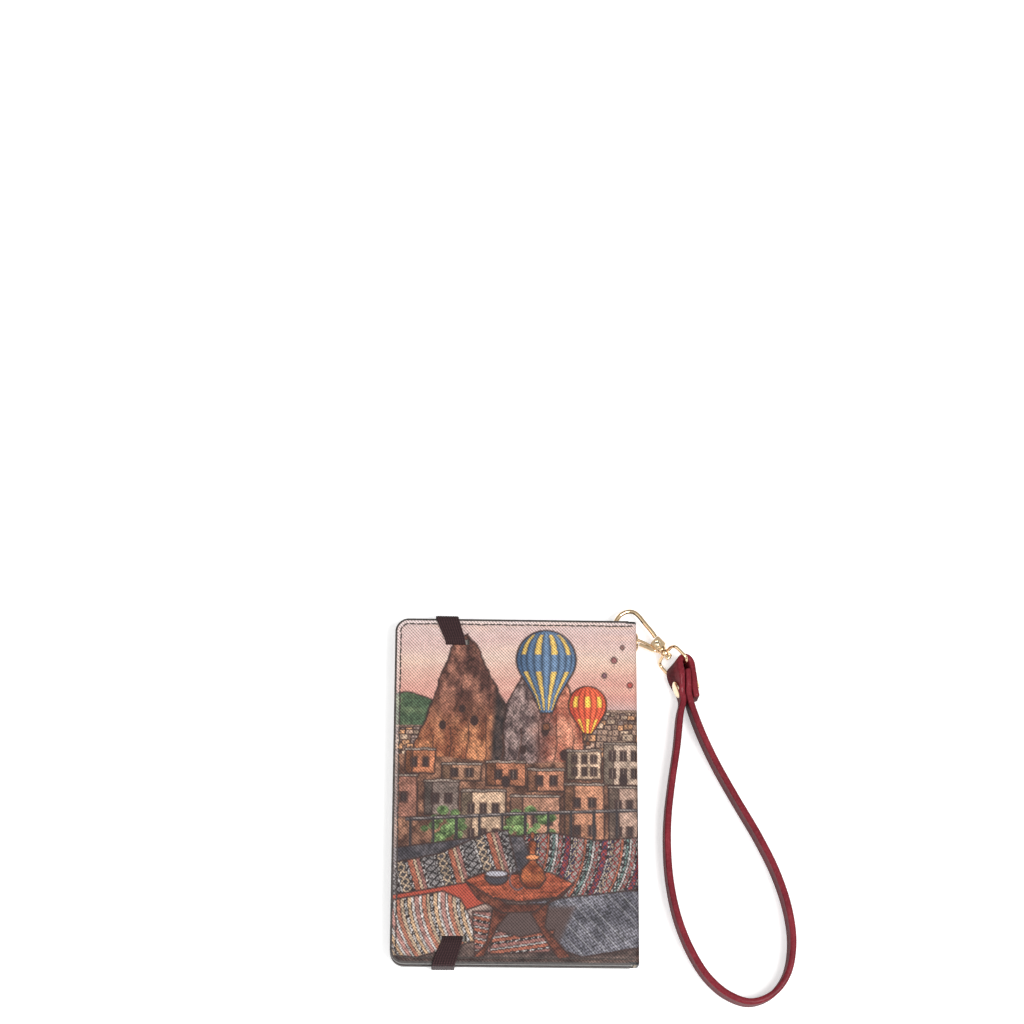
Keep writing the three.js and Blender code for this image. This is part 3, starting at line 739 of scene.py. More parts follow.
def paint_front(art):
    art.shape([(-51, 39), (-44, 39.5), (-37, 37.5), (-30, 35), (-30, 14), (-51, 14)],
              mottled((80, 100, 76), (130, 146, 108), 4.0), 0.25, rough=0.6)
    paint_town(art, -51, -34, 26, 4, 3)
    paint_town(art, 14, 56, 33, 2, 5)
    paint_cones(art)
    paint_balloon(art, 12.5, 54.0, 12.4, 23.5, (100, 124, 152), (36, 54, 78), (204, 172, 96), 11,
                  ((0.18, 0.86), (-1.7, -0.42)))
    paint_balloon(art, 29.5, 35.0, 7.9, 13.0, (214, 94, 64), (140, 48, 42), (232, 184, 80), 9,
                  ((-0.1, 0.45), (-1.5, -0.75)))
    for x, y, r, tone in ((40.5, 54, 1.25, (150, 96, 96)), (36.5, 47.5, 1.0, (128, 92, 100)),
                          (47.0, 43.5, 1.1, (176, 84, 78)), (44.0, 59.5, 0.8, (150, 110, 104))):
        art.disc(x, y, r, r * 1.1, tone, 0.1, 14)
        low, high = y - 2.1 * r, y - 1.7 * r
        art.shape([(x - 0.25, low), (x + 0.25, low), (x + 0.2, high), (x - 0.2, high)], (90, 70, 70), 0)
    art.shape([(-52, 14), (-30, 13), (0, 10), (30, 12), (56, 14), (56, -30), (-52, -30)],
              mottled((92, 64, 54), (168, 122, 98), 5.0), 0)
    houses = (
        (-45, 6, -33, 16, (196, 126, 92), 2, 1, False), (-30, 3, -14, 10, (178, 134, 108), 2, 1, False),
        (21, 4, 35, 16, (208, 178, 152), 3, 2, False), (36, 2, 52, 19, (202, 176, 156), 3, 2, True),
        (-12, 1, 4, 11, (186, 122, 92), 2, 1, True), (5, -1, 20, 8, (206, 142, 112), 2, 1, False),
        (-51, -12, -40, 5, (158, 110, 94), 1, 1, False), (-37, -11, -23, 3, (138, 120, 112), 2, 1, False),
        (-22, -25, -4, -1, (208, 176, 148), 3, 2, False), (-2, -22, 18, -3, (190, 140, 116), 3, 1, False),
        (20, -24, 36, 2, (200, 142, 112), 2, 2, False), (38, -24, 55, 1, (176, 146, 130), 3, 2, True),
    )
    for u0, v0, u1, v1, wall, windows, rows, arch in houses:
        paint_house(art, u0, v0, u1, v1, wall, windows=windows, rows=rows, arch=arch)
    paint_shrub(art, -29, -17, 8.5, 8, 11)
    paint_shrub(art, 6, -15, 10, 7, 13)
    rail = (58, 52, 54)
    art.line([(-44, -13.0), (0, -10.4), (56, -8.2)], 1.5, rail)
    art.line([(-44, -12.8), (0, -10.2), (56, -8.0)], 0.35, (160, 150, 146))
    for k in range(11):
        x = -42.5 + 9.3 * k
        top = -13 + 0.05 * (x + 44)
        art.line([(x, top), (x, top - 15)], 1.2, rail)


def paint_terrace(art, left, right):
    """The wall, cushions, rug and ground, between two values of U."""
    art.shape([(left, -25), (left + 42, -19), (right, -22), (right, -46), (left, -46)],
              mottled((66, 62, 68), (104, 98, 102), 3.0), 0.25)
    back_bands = [(2.2, TERRACOTTA, None), (1.2, CREAM, None), (1.6, ROSE, None), (1.1, BLACK, WHITE),
                  (4.6, (148, 142, 142), BLACK), (1.1, WHITE, BLACK), (3.6, (80, 74, 76), CREAM),
                  (1.3, BLACK, WHITE)]
    art.shape([(left, -31), (left + 20, -27), (left + 40, -18), (left + 48, -17), (left + 52, -34),
               (left + 24, -42), (left, -46)],
              woven(back_bands, lambda u, v: u * 0.96 + v * 0.28, lambda u, v: v * 0.96 - u * 0.28), 0.3)
    gay_bands = [(1.4, TEAL, BLACK), (1.0, WHITE, None), (1.8, (150, 140, 136), RED), (1.0, BLACK, WHITE),
                 (2.4, RED, NAVY), (0.9, WHITE, BLACK), (1.6, NAVY, CREAM), (2.8, (164, 158, 152), RED),
                 (1.1, TERRACOTTA, None), (1.0, BLACK, WHITE)]
    art.shape([(left + 54, -19), (left + 66, -18), (left + 84, -21), (right, -19), (right, -38),
               (left + 88, -44), (left + 70, -46), (left + 62, -42)],
              woven(gay_bands, lambda u, v: u + 0.012 * (v + 20) ** 2, lambda u, v: v), 0.3)
    art.shape([(left, -44), (left + 34, -38), (left + 56, -34), (left + 58, -40), (left + 30, -50),
               (left, -52)],
              (166, 74, 58), 0.25)
    low_bands = [(1.9, (196, 144, 134), None), (1.1, (226, 220, 214), None),
                 (1.8, (196, 128, 104), None), (1.5, CREAM, None),
                 (1.4, (216, 210, 206), BLACK), (1.6, (222, 184, 146), None), (1.2, (226, 220, 214), None)]
    art.shape([(left, -46), (left + 8, -44.5), (left + 22, -42), (left + 29, -45), (left + 34, -54),
               (left + 35, -62), (left + 12, -68.5), (left, -68)],
              woven(low_bands, lambda u, v: u - left - 0.014 * (v + 44) ** 2, lambda u, v: v + 0.3 * u),
              0.3)
    rug = mottled((104, 102, 112), (146, 144, 154), 6.0, veins=0.3)

    def rug_weave(u, v):
        tone = rug(u, v)
        lattice = abs(np.sin(u * 1.9 + v * 0.8) * np.sin(v * 2.1 - u * 0.9)) > 0.45
        tone[lattice] *= 0.66
        border = abs(np.sin((u + v) * 0.55)) < 0.12
        tone[border] = tone[border] * 0.5 + 100
        return tone
    art.shape([(left + 56, -46), (left + 72, -44), (right, -40), (right, -63), (left + 78, -68),
               (left + 60, -64)],
              rug_weave, 0.3, rough=0.4)
    ground = mottled((66, 52, 50), (124, 102, 94), 4.0, 2.0)
    art.shape([(left, -68), (left + 12, -68.5), (left + 35, -62), (left + 56, -60), (left + 78, -68),
               (right, -63), (right, -73), (left, -73)], ground, 0.3)


def paint_table(art):
    wood = mottled((150, 74, 52), (186, 98, 70), 1.6, 6.0, veins=0.3)
    dark_wood = mottled((84, 46, 38), (132, 76, 58), 3.0)
    art.shape([(-15, -50), (-8, -48), (24, -48), (16, -66), (-13, -66)], (84, 68, 66), 0.0, soft=1.5)
    bands = [(1.5, TERRACOTTA, None), (0.8, WHITE, None), (1.6, ROSE, None), (0.8, BLACK, WHITE)]
    art.shape([(-17, -50), (-8, -50), (-6, -66), (-16, -67)],
              woven(bands, lambda u, v: v + 0.2 * u, lambda u, v: u), 0.25)
    art.shape([(-9, -57), (2, -60), (16, -57), (14, -66), (-10, -67)],
              woven(bands, lambda u, v: v - 0.15 * u, lambda u, v: u), 0.25)
    for lean, top_u, foot_u in ((-1, -4, -15), (1, 9, 20)):
        art.shape([(top_u - 4.5, -47), (top_u + 4.5, -47), (top_u + lean * 3, -56), (foot_u + 2.6, -68),
                   (foot_u - 2.6, -69), (foot_u - lean * 5 - 1.5, -63)], dark_wood, 0.3)
    art.shape([(-20, -38), (-12, -41.5), (-3, -47), (12, -47), (19, -44), (23, -39), (19, -42),
               (8, -50), (-5, -50.5), (-15, -45)], dark_wood, 0.3)
    art.shape([(-20.5, -37.5), (-13, -34.5), (-2, -35), (14, -34), (23.5, -38.5), (17, -44.0), (2, -46),
               (-9, -44.5)],
              wood, 0.3)
    art.disc(-7.5, -36.5, 4.6, 2.8, (70, 66, 72), 0.25)
    art.disc(-7.5, -34.8, 4.6, 1.4, (172, 170, 178), 0.25)
    turn = np.linspace(0.2, 5.4, 24)
    art.line([(1.0 + 3.2 * math.cos(a), -37 + 4.2 * math.sin(a)) for a in turn], 0.6, (88, 80, 86))
    jug = mottled((112, 56, 38), (190, 108, 68), 4.0)
    art.shape([(4.4, -40.5), (9.6, -40.5), (12.4, -37), (11.5, -33), (8.6, -30), (8.2, -26),
               (8.8, -22.5), (6.9, -20.5),
               (5.2, -22.5), (5.8, -26), (5.4, -30), (2.6, -33), (1.9, -37)], jug, 0.3)
    art.disc(7.0, -19.2, 0.9, 1.5, (150, 84, 56), 0.2, 12)
    art.disc(7.0, -28.0, 2.8, 1.1, (226, 150, 100), 0.2, 16)


def paint_back(art):
    """The back cover's own, calmer view: hills, a few houses and the same terrace."""
    art.shape([(54, 20), (66, 26), (78, 44), (86, 52), (93, 47), (101, 30), (112, 22), (124, 38),
               (131, 43), (139, 34), (150, 22), (166, 20), (166, -5), (54, -5)],
              mottled((128, 88, 72), (194, 138, 104), 6.0), 0.3, rough=0.8)
    paint_town(art, 56, 163, 22, 0, 9)
    for k in range(7):
        u0 = 58 + 15.0 * k
        tone = 1.0 - 0.05 * (k % 3)
        wall = np.array((214, 170, 136)) * tone
        paint_house(art, u0, -24, u0 + 14, -2 + 2.5 * (k % 3), wall, windows=2, rows=2)
    paint_shrub(art, 84, -17, 10, 7, 17)
    paint_shrub(art, 128, -18, 12, 6, 19)
    paint_balloon(art, 140, 56, 7.0, 11.5, (222, 150, 92), (170, 92, 60), (238, 214, 170), 9,
                  ((-1.6, 0.7),))
    art.line([(56, -9), (164, -11)], 1.2, (74, 68, 70))
    for k in range(12):
        art.line([(60 + 9.3 * k, -9.6), (60 + 9.3 * k, -26)], 0.9, (74, 68, 70))


PALE_SEAM_COLOUR = (222, 212, 209)         # a paler colour laid along the seam, fading out towards the bottom
EDGE_GREY = 52                   # the painted edge where it laps over the print


def picture(u, v, edge):
    """Linear colours for points along the skin; edge is the distance to the cover's free edge."""
    art = Painting(u, v)
    paint_sky(art)
    if u.min() < 40:
        paint_front(art)
        paint_terrace(art, -51, 56)
        paint_table(art)
    if u.max() > 60:
        paint_back(art)
        paint_terrace(art, 56, 163)
    ink = 0.93 + 0.14 * cloud(art.u, art.v, 0.9, octaves=2)
    rgb = np.clip(art.rgb * ink[:, None], 0, 255)
    # A paler band along the seam, fading out towards the bottom of the cover.
    pale = 0.5 * (1 - smoothstep(1.7, 2.3, edge)) * smoothstep(-58, -20, art.v)
    rgb = rgb * (1 - pale[:, None]) + np.array(PALE_SEAM_COLOUR) * pale[:, None]
    waver = 0.12 * (cloud(art.u, art.v, 1.6) - 0.5)
    paint = 1 - smoothstep(0.72, 0.92, edge + waver - 0.5 * smoothstep(44, 47, art.u) * (art.u < 58))
    rgb = rgb * (1 - paint[:, None]) + EDGE_GREY * paint[:, None]
    c = rgb / 255
    return np.where(c <= 0.04045, c / 12.92, ((c + 0.055) / 1.055) ** 2.4)


# ---------------------------------------------------------------- the printed skins
BEND = 2.2                       # outer radius of the spine's two rounded corners
BEND_START = HALF_W - BEND
BEND_ARC = BEND * math.pi / 2
SKIN_LENGTH = BEND_START + BEND_ARC + MID - BEND   # fore edge's origin to the middle of the spine
SKIN_INSET = 0.3
SLOT_X, SLOT_Y = -24.2, 61.0
SLOT_LENGTH, SLOT_HALF = 9.8, 1.15
STITCH_INSET = 2.4
STRETCH_TO = -36.0               # the rounded corners push the grid lines aside up to here
CREASE_START, CREASE_END = (45.6, 0, 12.0), (49.9, 0, 8.6)


def round_spine(s, inset):
    """(x, z) at s along a sheet that lies inset below the front half's outer surface."""
    turn = np.clip((s - BEND_START) / BEND, 0, math.pi / 2)
    radius = np.maximum(BEND - inset, 0.08)
    centre = HALF_W - inset - radius
    high = CLOSED - inset - radius
    draw_in = (centre - BEND_START) * smoothstep(BEND_START - 6, BEND_START, s)
    x = np.minimum(s, BEND_START) + draw_in + radius * np.sin(turn)
    down = np.maximum(s - BEND_START - BEND_ARC, 0) * (high - MID) / (CLOSED - BEND - MID)
    return x, high + radius * np.cos(turn) - down


def edge_distance(x, y):
    """How far a point on a cover lies inside its free edges, the two corners rounded."""
    dx, dy = -HALF_W + CORNER - x, abs(y) - (HALF_H - CORNER)
    outside = np.hypot(np.maximum(dx, 0), np.maximum(dy, 0))
    return CORNER - outside - np.minimum(np.maximum(dx, dy), 0)


def levels(low, high, coarse, fine, band, marks=()):
    """Grid lines that are fine near both ends, moved to pass exactly through the marks."""
    parts = [np.arange(low, low + band, fine), np.arange(low + band, high - band, coarse),
             np.linspace(high - band, high, int(band / fine) + 1)]
    lines = np.concatenate(parts)
    for mark in marks:
        lines[np.argmin(abs(lines - mark))] = mark
    return lines


def bend_over(obj, front):
    """Bakes a sheet's placement into its mesh; the crease's two ends are worked out but not used."""
    start, end = Vector(CREASE_START), Vector(CREASE_END)
    if not front:
        start.z, end.z = CLOSED - start.z, CLOSED - end.z
    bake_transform(obj)


def sheet_piece(name, material, slot, replaces, front, top_inset, bottom_inset, margin, step,
                slots=False, relief=None, painted=False):
    """One bonded sheet of a cover with its half of the spine, as a closed body."""
    left, tall = -HALF_W + margin, HALF_H - margin
    radius = CORNER - margin
    marks_v = [e * SLOT_Y + d for e in (-1, 1) for d in (-SLOT_HALF, SLOT_HALF)] if slots else []
    marks_s = [SLOT_X - SLOT_LENGTH / 2, SLOT_X + SLOT_LENGTH / 2] if slots else []
    rows = levels(-tall, tall, step, 0.4, 6.0, marks_v)
    columns = levels(left, SKIN_LENGTH, step, 0.4, 6.0, marks_s)
    drop = np.maximum(abs(rows) - (tall - radius), 0)
    start = left + radius - np.sqrt(np.maximum(radius ** 2 - drop ** 2, 0))
    share = np.clip((STRETCH_TO - columns) / (STRETCH_TO - left), 0, 1)
    s = columns[None, :] + (start - left)[:, None] * share[None, :]
    v = np.repeat(rows[:, None], len(columns), 1)
    edge = np.where(s < HALF_W - CORNER, edge_distance(s, v), HALF_H - abs(v))
    inset_top = top_inset + (relief(s, v, edge) if relief else 0 * s)
    layers = []
    for inset in (inset_top, bottom_inset + 0 * s):
        x, z = round_spine(s, inset)
        z = z if front else CLOSED - z
        layers.append(np.stack([x, v, z], -1).reshape(-1, 3))
    n_rows, n_columns = s.shape
    size = n_rows * n_columns
    keep = np.ones((n_rows - 1, n_columns - 1), bool)
    if slots:
        middle_v = (rows[1:] + rows[:-1]) / 2
        middle_s = (columns[1:] + columns[:-1]) / 2
        in_v = abs(abs(middle_v) - SLOT_Y) < SLOT_HALF
        in_s = abs(middle_s - SLOT_X) < SLOT_LENGTH / 2
        keep &= ~(in_v[:, None] & in_s[None, :])
    faces, edges = [], {}
    for i, j in zip(*np.nonzero(keep)):
        a = i * n_columns + j
        ring = (a, a + 1, a + n_columns + 1, a + n_columns)
        faces.append(ring)
        faces.append(tuple(k + size for k in ring[::-1]))
        for p, q in zip(ring, ring[1:] + ring[:1]):
            if edges.pop((q, p), None) is None:
                edges[(p, q)] = True
    for p, q in edges:
        faces.append((q, p, p + size, q + size))
    obj = new_piece(name, np.concatenate(layers), faces, material, slot=slot, replaces=replaces, angle=50)
    unrolled = s if front else 2 * SKIN_LENGTH - s
    flat = np.stack([unrolled, v, 0 * s], -1).reshape(-1, 3)
    attribute = obj.data.attributes.new("skin_mm", "FLOAT_VECTOR", "POINT")
    attribute.data.foreach_set("vector", np.concatenate([flat, flat]).astype(np.float32).ravel())
    if painted:
        colours = picture(flat[:, 0], flat[:, 1], edge.ravel())
        rgba = np.ones((2 * size, 4), np.float32)
        rgba[:size, :3] = colours
        rgba[size:, :3] = (0.3, 0.28, 0.26)
        rim = np.zeros(s.shape, bool)
        rim[0], rim[-1], rim[:, 0] = True, True, True
        rgba[size:][rim.ravel(), :3] = 0.035
        layer = obj.data.color_attributes.new("print_colour", "FLOAT_COLOR", "POINT")
        layer.data.foreach_set("color", rgba.ravel())
    bend_over(obj, front)


def back_relief(s, v, edge):
    """The skin sinks a little along the seam and at its edges."""
    seam = 0.14 * np.exp(-((edge - STITCH_INSET) / 0.45) ** 2) * (s < HALF_W - 2)
    return seam + 0.22 * (1 - smoothstep(0.0, 1.1, edge))


def front_relief(s, v, edge):
    """The front skin also dips and lifts round the band's slots, and isn't quite flat."""
    dx = np.maximum(abs(s - SLOT_X) - SLOT_LENGTH / 2, 0)
    dv = np.maximum(abs(abs(v) - SLOT_Y) - SLOT_HALF, 0)
    lip = -0.10 * np.exp(-((np.hypot(dx, dv) - 0.5) / 0.35) ** 2)
    soft = 0.05 * np.sin(s * 0.11 + 0.6) * np.sin(v * 0.07 + 0.3)
    return back_relief(s, v, edge) + lip + soft


sheet_piece("printed_front", PRINTED, "printed_skin", ("front_skin", "spine_skin"), True, 0.0, SKIN,
            SKIN_INSET, 0.45, slots=True, relief=front_relief, painted=True)
sheet_piece("printed_back", PRINTED, "printed_skin", ("back_skin",), False, 0.0, SKIN,
            SKIN_INSET, 0.5, relief=back_relief, painted=True)
LINING_OUT, LINING_IN = 2.35, 2.95     # how far inside the outer faces its two sides lie
LINING_INSET, LINING_STEP = 0.85, 1.6
for side, nodes in (("front", ("front_lining", "spine_lining")), ("back", ("back_lining",))):
    sheet_piece(f"lining_{side}", LINING, "lining", nodes, side == "front", LINING_OUT, LINING_IN,
                LINING_INSET, LINING_STEP)


# ---------------------------------------------------------------- painted edges and stitches
def rim_line(inset, end, step=0.5):
    """Round the three free edges, from the spine's end at the top to the same at the bottom."""
    radius = CORNER - inset
    left, top = -HALF_W + inset, HALF_H - inset
    points = [(end, top)]
    for k in range(13):
        a = math.pi / 2 + k * math.pi / 24
        points.append((left + radius + radius * math.cos(a), top - radius + radius * math.sin(a)))
    points += [(x, -y) for x, y in points[::-1]]
    return resample(np.array(points), step)


def edge_bead(name, z_low, z_high, body, replaces):
    """The painted edge: a rounded bead over the cut edges of the bonded sheets."""
    path = rim_line(0.0, 46.6)
    way = unit(np.gradient(path, axis=0))
    inward = np.stack([-way[:, 1], way[:, 0]], 1)
    corners = [(0.9, z_low), (0.05, z_low), (0.05, z_high), (0.9, z_high)]
    section = filleted(corners, 0.75, 5)
    rings = []
    for k, (point, into) in enumerate(zip(path, inward)):
        waver = 0.05 * math.sin(k * 0.53) + 0.04 * math.sin(k * 1.31 + 1)
        ring = [(*(point + into * max(d + (waver if d > 0.5 else 0), 0.0)), z) for d, z in section]
        rings.append(ring)
    new_piece(name, *loft(rings), EDGE_PAINT, body=body, slot="edge_paint", replaces=replaces)


edge_bead("front_painted_edge", CLOSED - 3.25, CLOSED + 0.03, "front_cover", ("front_edge_paint",))
edge_bead("back_painted_edge", -0.03, 3.25, "back_cover", ("back_edge_paint",))


def stitch_run(parts, path, up, pitch=3.0, length=2.75, wide=0.62, deep=0.3, seed=1):
    """Single stitches along a 3-D line: each rises out of its hole and dips into the next."""
    draw = np.random.default_rng(seed)
    along = distances(path)
    count = int(along[-1] / pitch)
    up = np.array(up, float)
    for k in range(count):
        middle = (k + 0.5) * pitch
        line = at_distance(np.linspace(middle - length / 2, middle + length / 2, 7), along, path)
        way = unit(line[-1] - line[0])
        side = unit(np.cross(way, up))
        skew = draw.uniform(-0.12, 0.12)
        rings = []
        for i, point in enumerate(line):
            t = i / 6 * 2 - 1
            arch = math.sqrt(max(1 - t ** 2 * 0.96, 0.02))
            centre = point + side * skew * t + up * (deep * 0.75 * (arch - 0.6))
            turn = np.linspace(0, 2 * math.pi, 8, endpoint=False)
            grow = 0.45 + 0.55 * arch
            rings.append(centre + np.outer(np.cos(turn) * wide / 2 * grow, side)
                         + np.outer(np.sin(turn) * deep * 0.6 * grow, up))
        parts.add(*loft(rings))


for side, up, body in (("front", (0, 0, 1), "front_cover"), ("back", (0, 0, -1), "back_cover")):
    seam = Parts()
    line = rim_line(STITCH_INSET, 48.6, 0.4)
    wander = 0.07 * np.sin(np.arange(len(line)) * 0.19) + 0.05 * np.sin(np.arange(len(line)) * 0.47)
    normal = unit(np.gradient(line, axis=0))[:, ::-1] * (1, -1)
    line = line + normal * wander[:, None]
    x, height = round_spine(line[:, 0], 0.02)
    height = height if side == "front" else CLOSED - height
    stitch_run(seam, np.column_stack([x, line[:, 1], height]), up, seed=3)
    seam = seam.piece(f"{side}_stitches", THREAD, slot="thread", replaces=(f"{side}_thread",))
    bend_over(seam, side == "front")


# ---------------------------------------------------------------- pockets inside
def pocket(name, x0, y0, x1, y1, z_low, z_high, body, replaces, open_side, radius=0.0):
    """A flat pocket: a thin slab that swells a little, built in lines that run towards its open side."""
    parts = Parts()
    nx, ny = int((x1 - x0) / 2), int((y1 - y0) / 2)
    xs, ys = np.linspace(x0, x1, nx + 1), np.linspace(y0, y1, ny + 1)
    rings = []
    if open_side == "top":
        lines = [np.array([[x, y, 0] for y in ys]) for x in xs]
    else:
        lines = [np.array([[x, y, 0] for x in xs]) for y in ys]
    for line in lines:
        outer = line.copy()
        if radius:
            near = max(abs(line[0, 1]) - (HALF_H - radius - 1.5), 0)
            corner = radius - math.sqrt(max(radius ** 2 - near ** 2, 0))
            outer[:, 0] = np.interp(outer[:, 0], [x0, x1], [x0 + corner, x1])
        s = np.linspace(0, 1, len(line))
        swell = 0.10 * np.sin(math.pi * s) ** 0.5
        top, low = outer.copy(), outer.copy()
        top[:, 2], low[:, 2] = z_high - 0.12 + swell, z_low
        if body == "front_cover":
            top[:, 2], low[:, 2] = z_high, z_low + 0.12 - swell
        rings.append(np.vstack([top, low[::-1]]))
    parts.add(*loft(rings))
    parts.piece(name, POCKET, body=body, slot="lining", replaces=replaces)


FINE_STITCH = {"pitch": 2.4, "length": 2.0, "wide": 0.4, "deep": 0.22}
HEM_ROWS = (1.6, 3.0)            # two rows of stitches, this far from an open edge
CARD_TOPS = (30.0, 14.0, -2.0)
seams = Parts()
for i, top in enumerate(CARD_TOPS):
    low, high = (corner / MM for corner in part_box(f"card_pocket_{i + 1}"))
    pocket(f"card_pocket_cloth_{i + 1}", -47, -68, 40, top, low.z, high.z, "front_cover",
           (f"card_pocket_{i + 1}",), "top")
    for inset in HEM_ROWS:
        hem = np.array([(-46.5 + 0.5 * k, top - inset, low.z) for k in range(172)])
        stitch_run(seams, hem, (0, 0, -1), seed=20 + i, **FINE_STITCH)
for x in (-46.0, 39.0):
    side = np.array([(x, -67.0 + 0.5 * k, low.z) for k in range(130)])
    stitch_run(seams, side, (0, 0, -1), seed=31, **FINE_STITCH)
seams.piece("card_pocket_stitches", PALE_THREAD, body="front_cover", slot="thread")

low, high = (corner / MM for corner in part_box("passport_sleeve"))
pocket("passport_pocket", low.x, low.y, high.x, high.y, low.z, high.z, "back_cover", ("passport_sleeve",),
       "side", radius=CORNER)
seams = Parts()
for inset in HEM_ROWS:
    hem = np.array([(high.x - inset, -68.0 + 0.5 * k, high.z) for k in range(273)])
    stitch_run(seams, hem, (0, 0, 1), seed=41, **FINE_STITCH)
line = rim_line(STITCH_INSET + 0.6, 11.0, 0.5)
stitch_run(seams, np.insert(line, 2, high.z, axis=1), (0, 0, 1), seed=43, **FINE_STITCH)
seams.piece("passport_pocket_stitches", PALE_THREAD, body="back_cover", slot="thread")


# ---------------------------------------------------------------- elastic band
BAND_WIDTH, BAND_THICK = 9.3, 1.0
BAND_X = -28.6                   # where the band crosses the edges
BAND_SLOT_X, BAND_SLOT_WIDTH = SLOT_X - 0.6, 8.3
BAND_OUT = HALF_H + 0.7
BAND_FACE = CLOSED + 0.72        # middle of its thickness over the front face
BAND_UNDER = FLOOR + BAND_THICK / 2
BEHIND = CLOSED - SKIN - 0.9
RIBS, SAMPLES_PER_RIB = 9, 5


def band_piece():
    half = [(SLOT_Y - 10, BEHIND, BAND_SLOT_X, BAND_SLOT_WIDTH),
            (SLOT_Y - 1.2, BEHIND, BAND_SLOT_X, BAND_SLOT_WIDTH),
            (SLOT_Y + 0.7, BAND_FACE, BAND_SLOT_X - 0.3, BAND_SLOT_WIDTH),
            (HALF_H - 2.0, BAND_FACE + 0.05, BAND_X + 0.8, BAND_WIDTH),
            (BAND_OUT, BAND_FACE + 0.05, BAND_X, BAND_WIDTH), (BAND_OUT, BAND_UNDER, BAND_X, BAND_WIDTH)]
    route = half + [(-y, z, x, w) for y, z, x, w in half[::-1]]
    path = resample(filleted(route, 1.3, 8), 0.7)
    flat = path[:, :2]
    way = unit(np.gradient(flat, axis=0))
    travelled = distances(flat)
    t = np.linspace(-1, 1, RIBS * SAMPLES_PER_RIB + 1)
    rib = 0.5 + 0.5 * np.cos(t * math.pi * RIBS)
    edge_round = np.sqrt(np.clip(1 - ((abs(t) - 0.94) / 0.07).clip(0) ** 2, 0.05, 1))
    rings, marks = [], []
    for (y, z, x, w), (wy, wz), s in zip(path, way, travelled):
        out = np.array([0, wz, -wy])
        for_top = (BAND_THICK / 2 - 0.16 * rib) * edge_round
        centre = np.stack([x + t * w / 2, np.full_like(t, y), np.full_like(t, z)], 1)
        up, down = centre + np.outer(for_top, out), centre - np.outer(for_top, out)
        rings.append(np.vstack([up, down[::-1]]))
        mark = np.stack([t * BAND_WIDTH / 2, np.full_like(t, s), 0 * t], 1)
        marks.append(np.vstack([mark, mark[::-1]]))
    verts, faces = loft(rings)
    obj = new_piece("elastic_band", verts, faces, ELASTIC, body="front_cover", slot="elastic",
                    replaces=("elastic_top", "elastic_bottom", "elastic_back_run"), angle=60)
    attribute = obj.data.attributes.new("band_mm", "FLOAT_VECTOR", "POINT")
    attribute.data.foreach_set("vector", np.concatenate(marks).astype(np.float32).ravel())
    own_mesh(obj)


band_piece()


# ---------------------------------------------------------------- eyelet in the spine
def gold_piece(name, shape, body, node, material=GOLD, angle=50):
    """A metal piece from (verts, faces) in place of one CAD node."""
    return new_piece(name, *shape, material, body=body, slot="gold_metal", replaces=(node,), angle=angle)


EYELET = np.array((HALF_W, 63.3, MID))
OUTWARD = (1, 0, 0)
low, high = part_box("spine_eyelet")
inner = low.x / MM - HALF_W
barrel = [(2.5, inner), (2.85, inner), (2.85, 0.12), (3.65, 0.05), (3.8, 0.22), (3.72, 0.5), (3.5, 0.76),
          (3.2, 0.88), (2.88, 0.8), (2.62, 0.55), (2.5, 0.2), (2.5, inner)]
gold_piece("eyelet_flange", lathe(barrel, EYELET, OUTWARD, 64), "spine", "spine_eyelet", angle=60)
low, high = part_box("eyelet_washer")
w0, w1 = low.x / MM - HALF_W, high.x / MM - HALF_W
washer = [(3.15, w0 + 0.1), (3.25, w0), (3.65, w0), (3.8, w0 + 0.15), (3.8, w1 - 0.1), (3.7, w1), (3.2, w1),
          (3.15, w0 + 0.1)]
gold_piece("eyelet_ring_inside", lathe(washer, EYELET, OUTWARD, 64), "spine", "eyelet_washer")


# ---------------------------------------------------------------- clasp
CLASP = np.array((59.0, 62.3, MID))
CLASP_TURN = math.radians(-47)
ALONG = np.array((math.cos(CLASP_TURN), math.sin(CLASP_TURN), 0.0))
ACROSS = np.array((-ALONG[1], ALONG[0], 0.0))
UP = np.array((0.0, 0.0, 1.0))
HOOK_ROUTE = [(58.4, 65.6), (57.0, 67.7), (53.9, 71.5), (51.2, 74.9), (49.4, 76.2), (47.3, 76.5),
              (44.4, 75.4),
              (42.1, 72.7), (40.9, 69.4), (41.5, 66.3), (44.0, 64.5), (47.6, 63.4), (50.6, 62.65)]


def in_clasp(points):
    """Points given along, across and up from the clasp's middle."""
    p = np.asarray(points, float)
    return CLASP + np.outer(p[:, 0], ALONG) + np.outer(p[:, 1], ACROSS) + np.outer(p[:, 2], UP)


def clasp_box(low, high, radius):
    verts, faces = rounded_box(low, high, radius)
    return in_clasp(verts), faces


def outline_plate(parts, outline, z0, z1, bevel=0.2):
    """A plate with softened edges over an outline of along and across."""
    p = np.asarray(outline, float)
    middle = p.mean(0)
    rings = []
    for inset, z in ((1, z0), (0, z0 + bevel), (0, z1 - bevel), (1, z1)):
        shrink = p + inset * bevel * unit(middle - p)
        rings.append(in_clasp(np.column_stack([shrink, np.full(len(p), z)])))
    parts.add(*loft(rings))


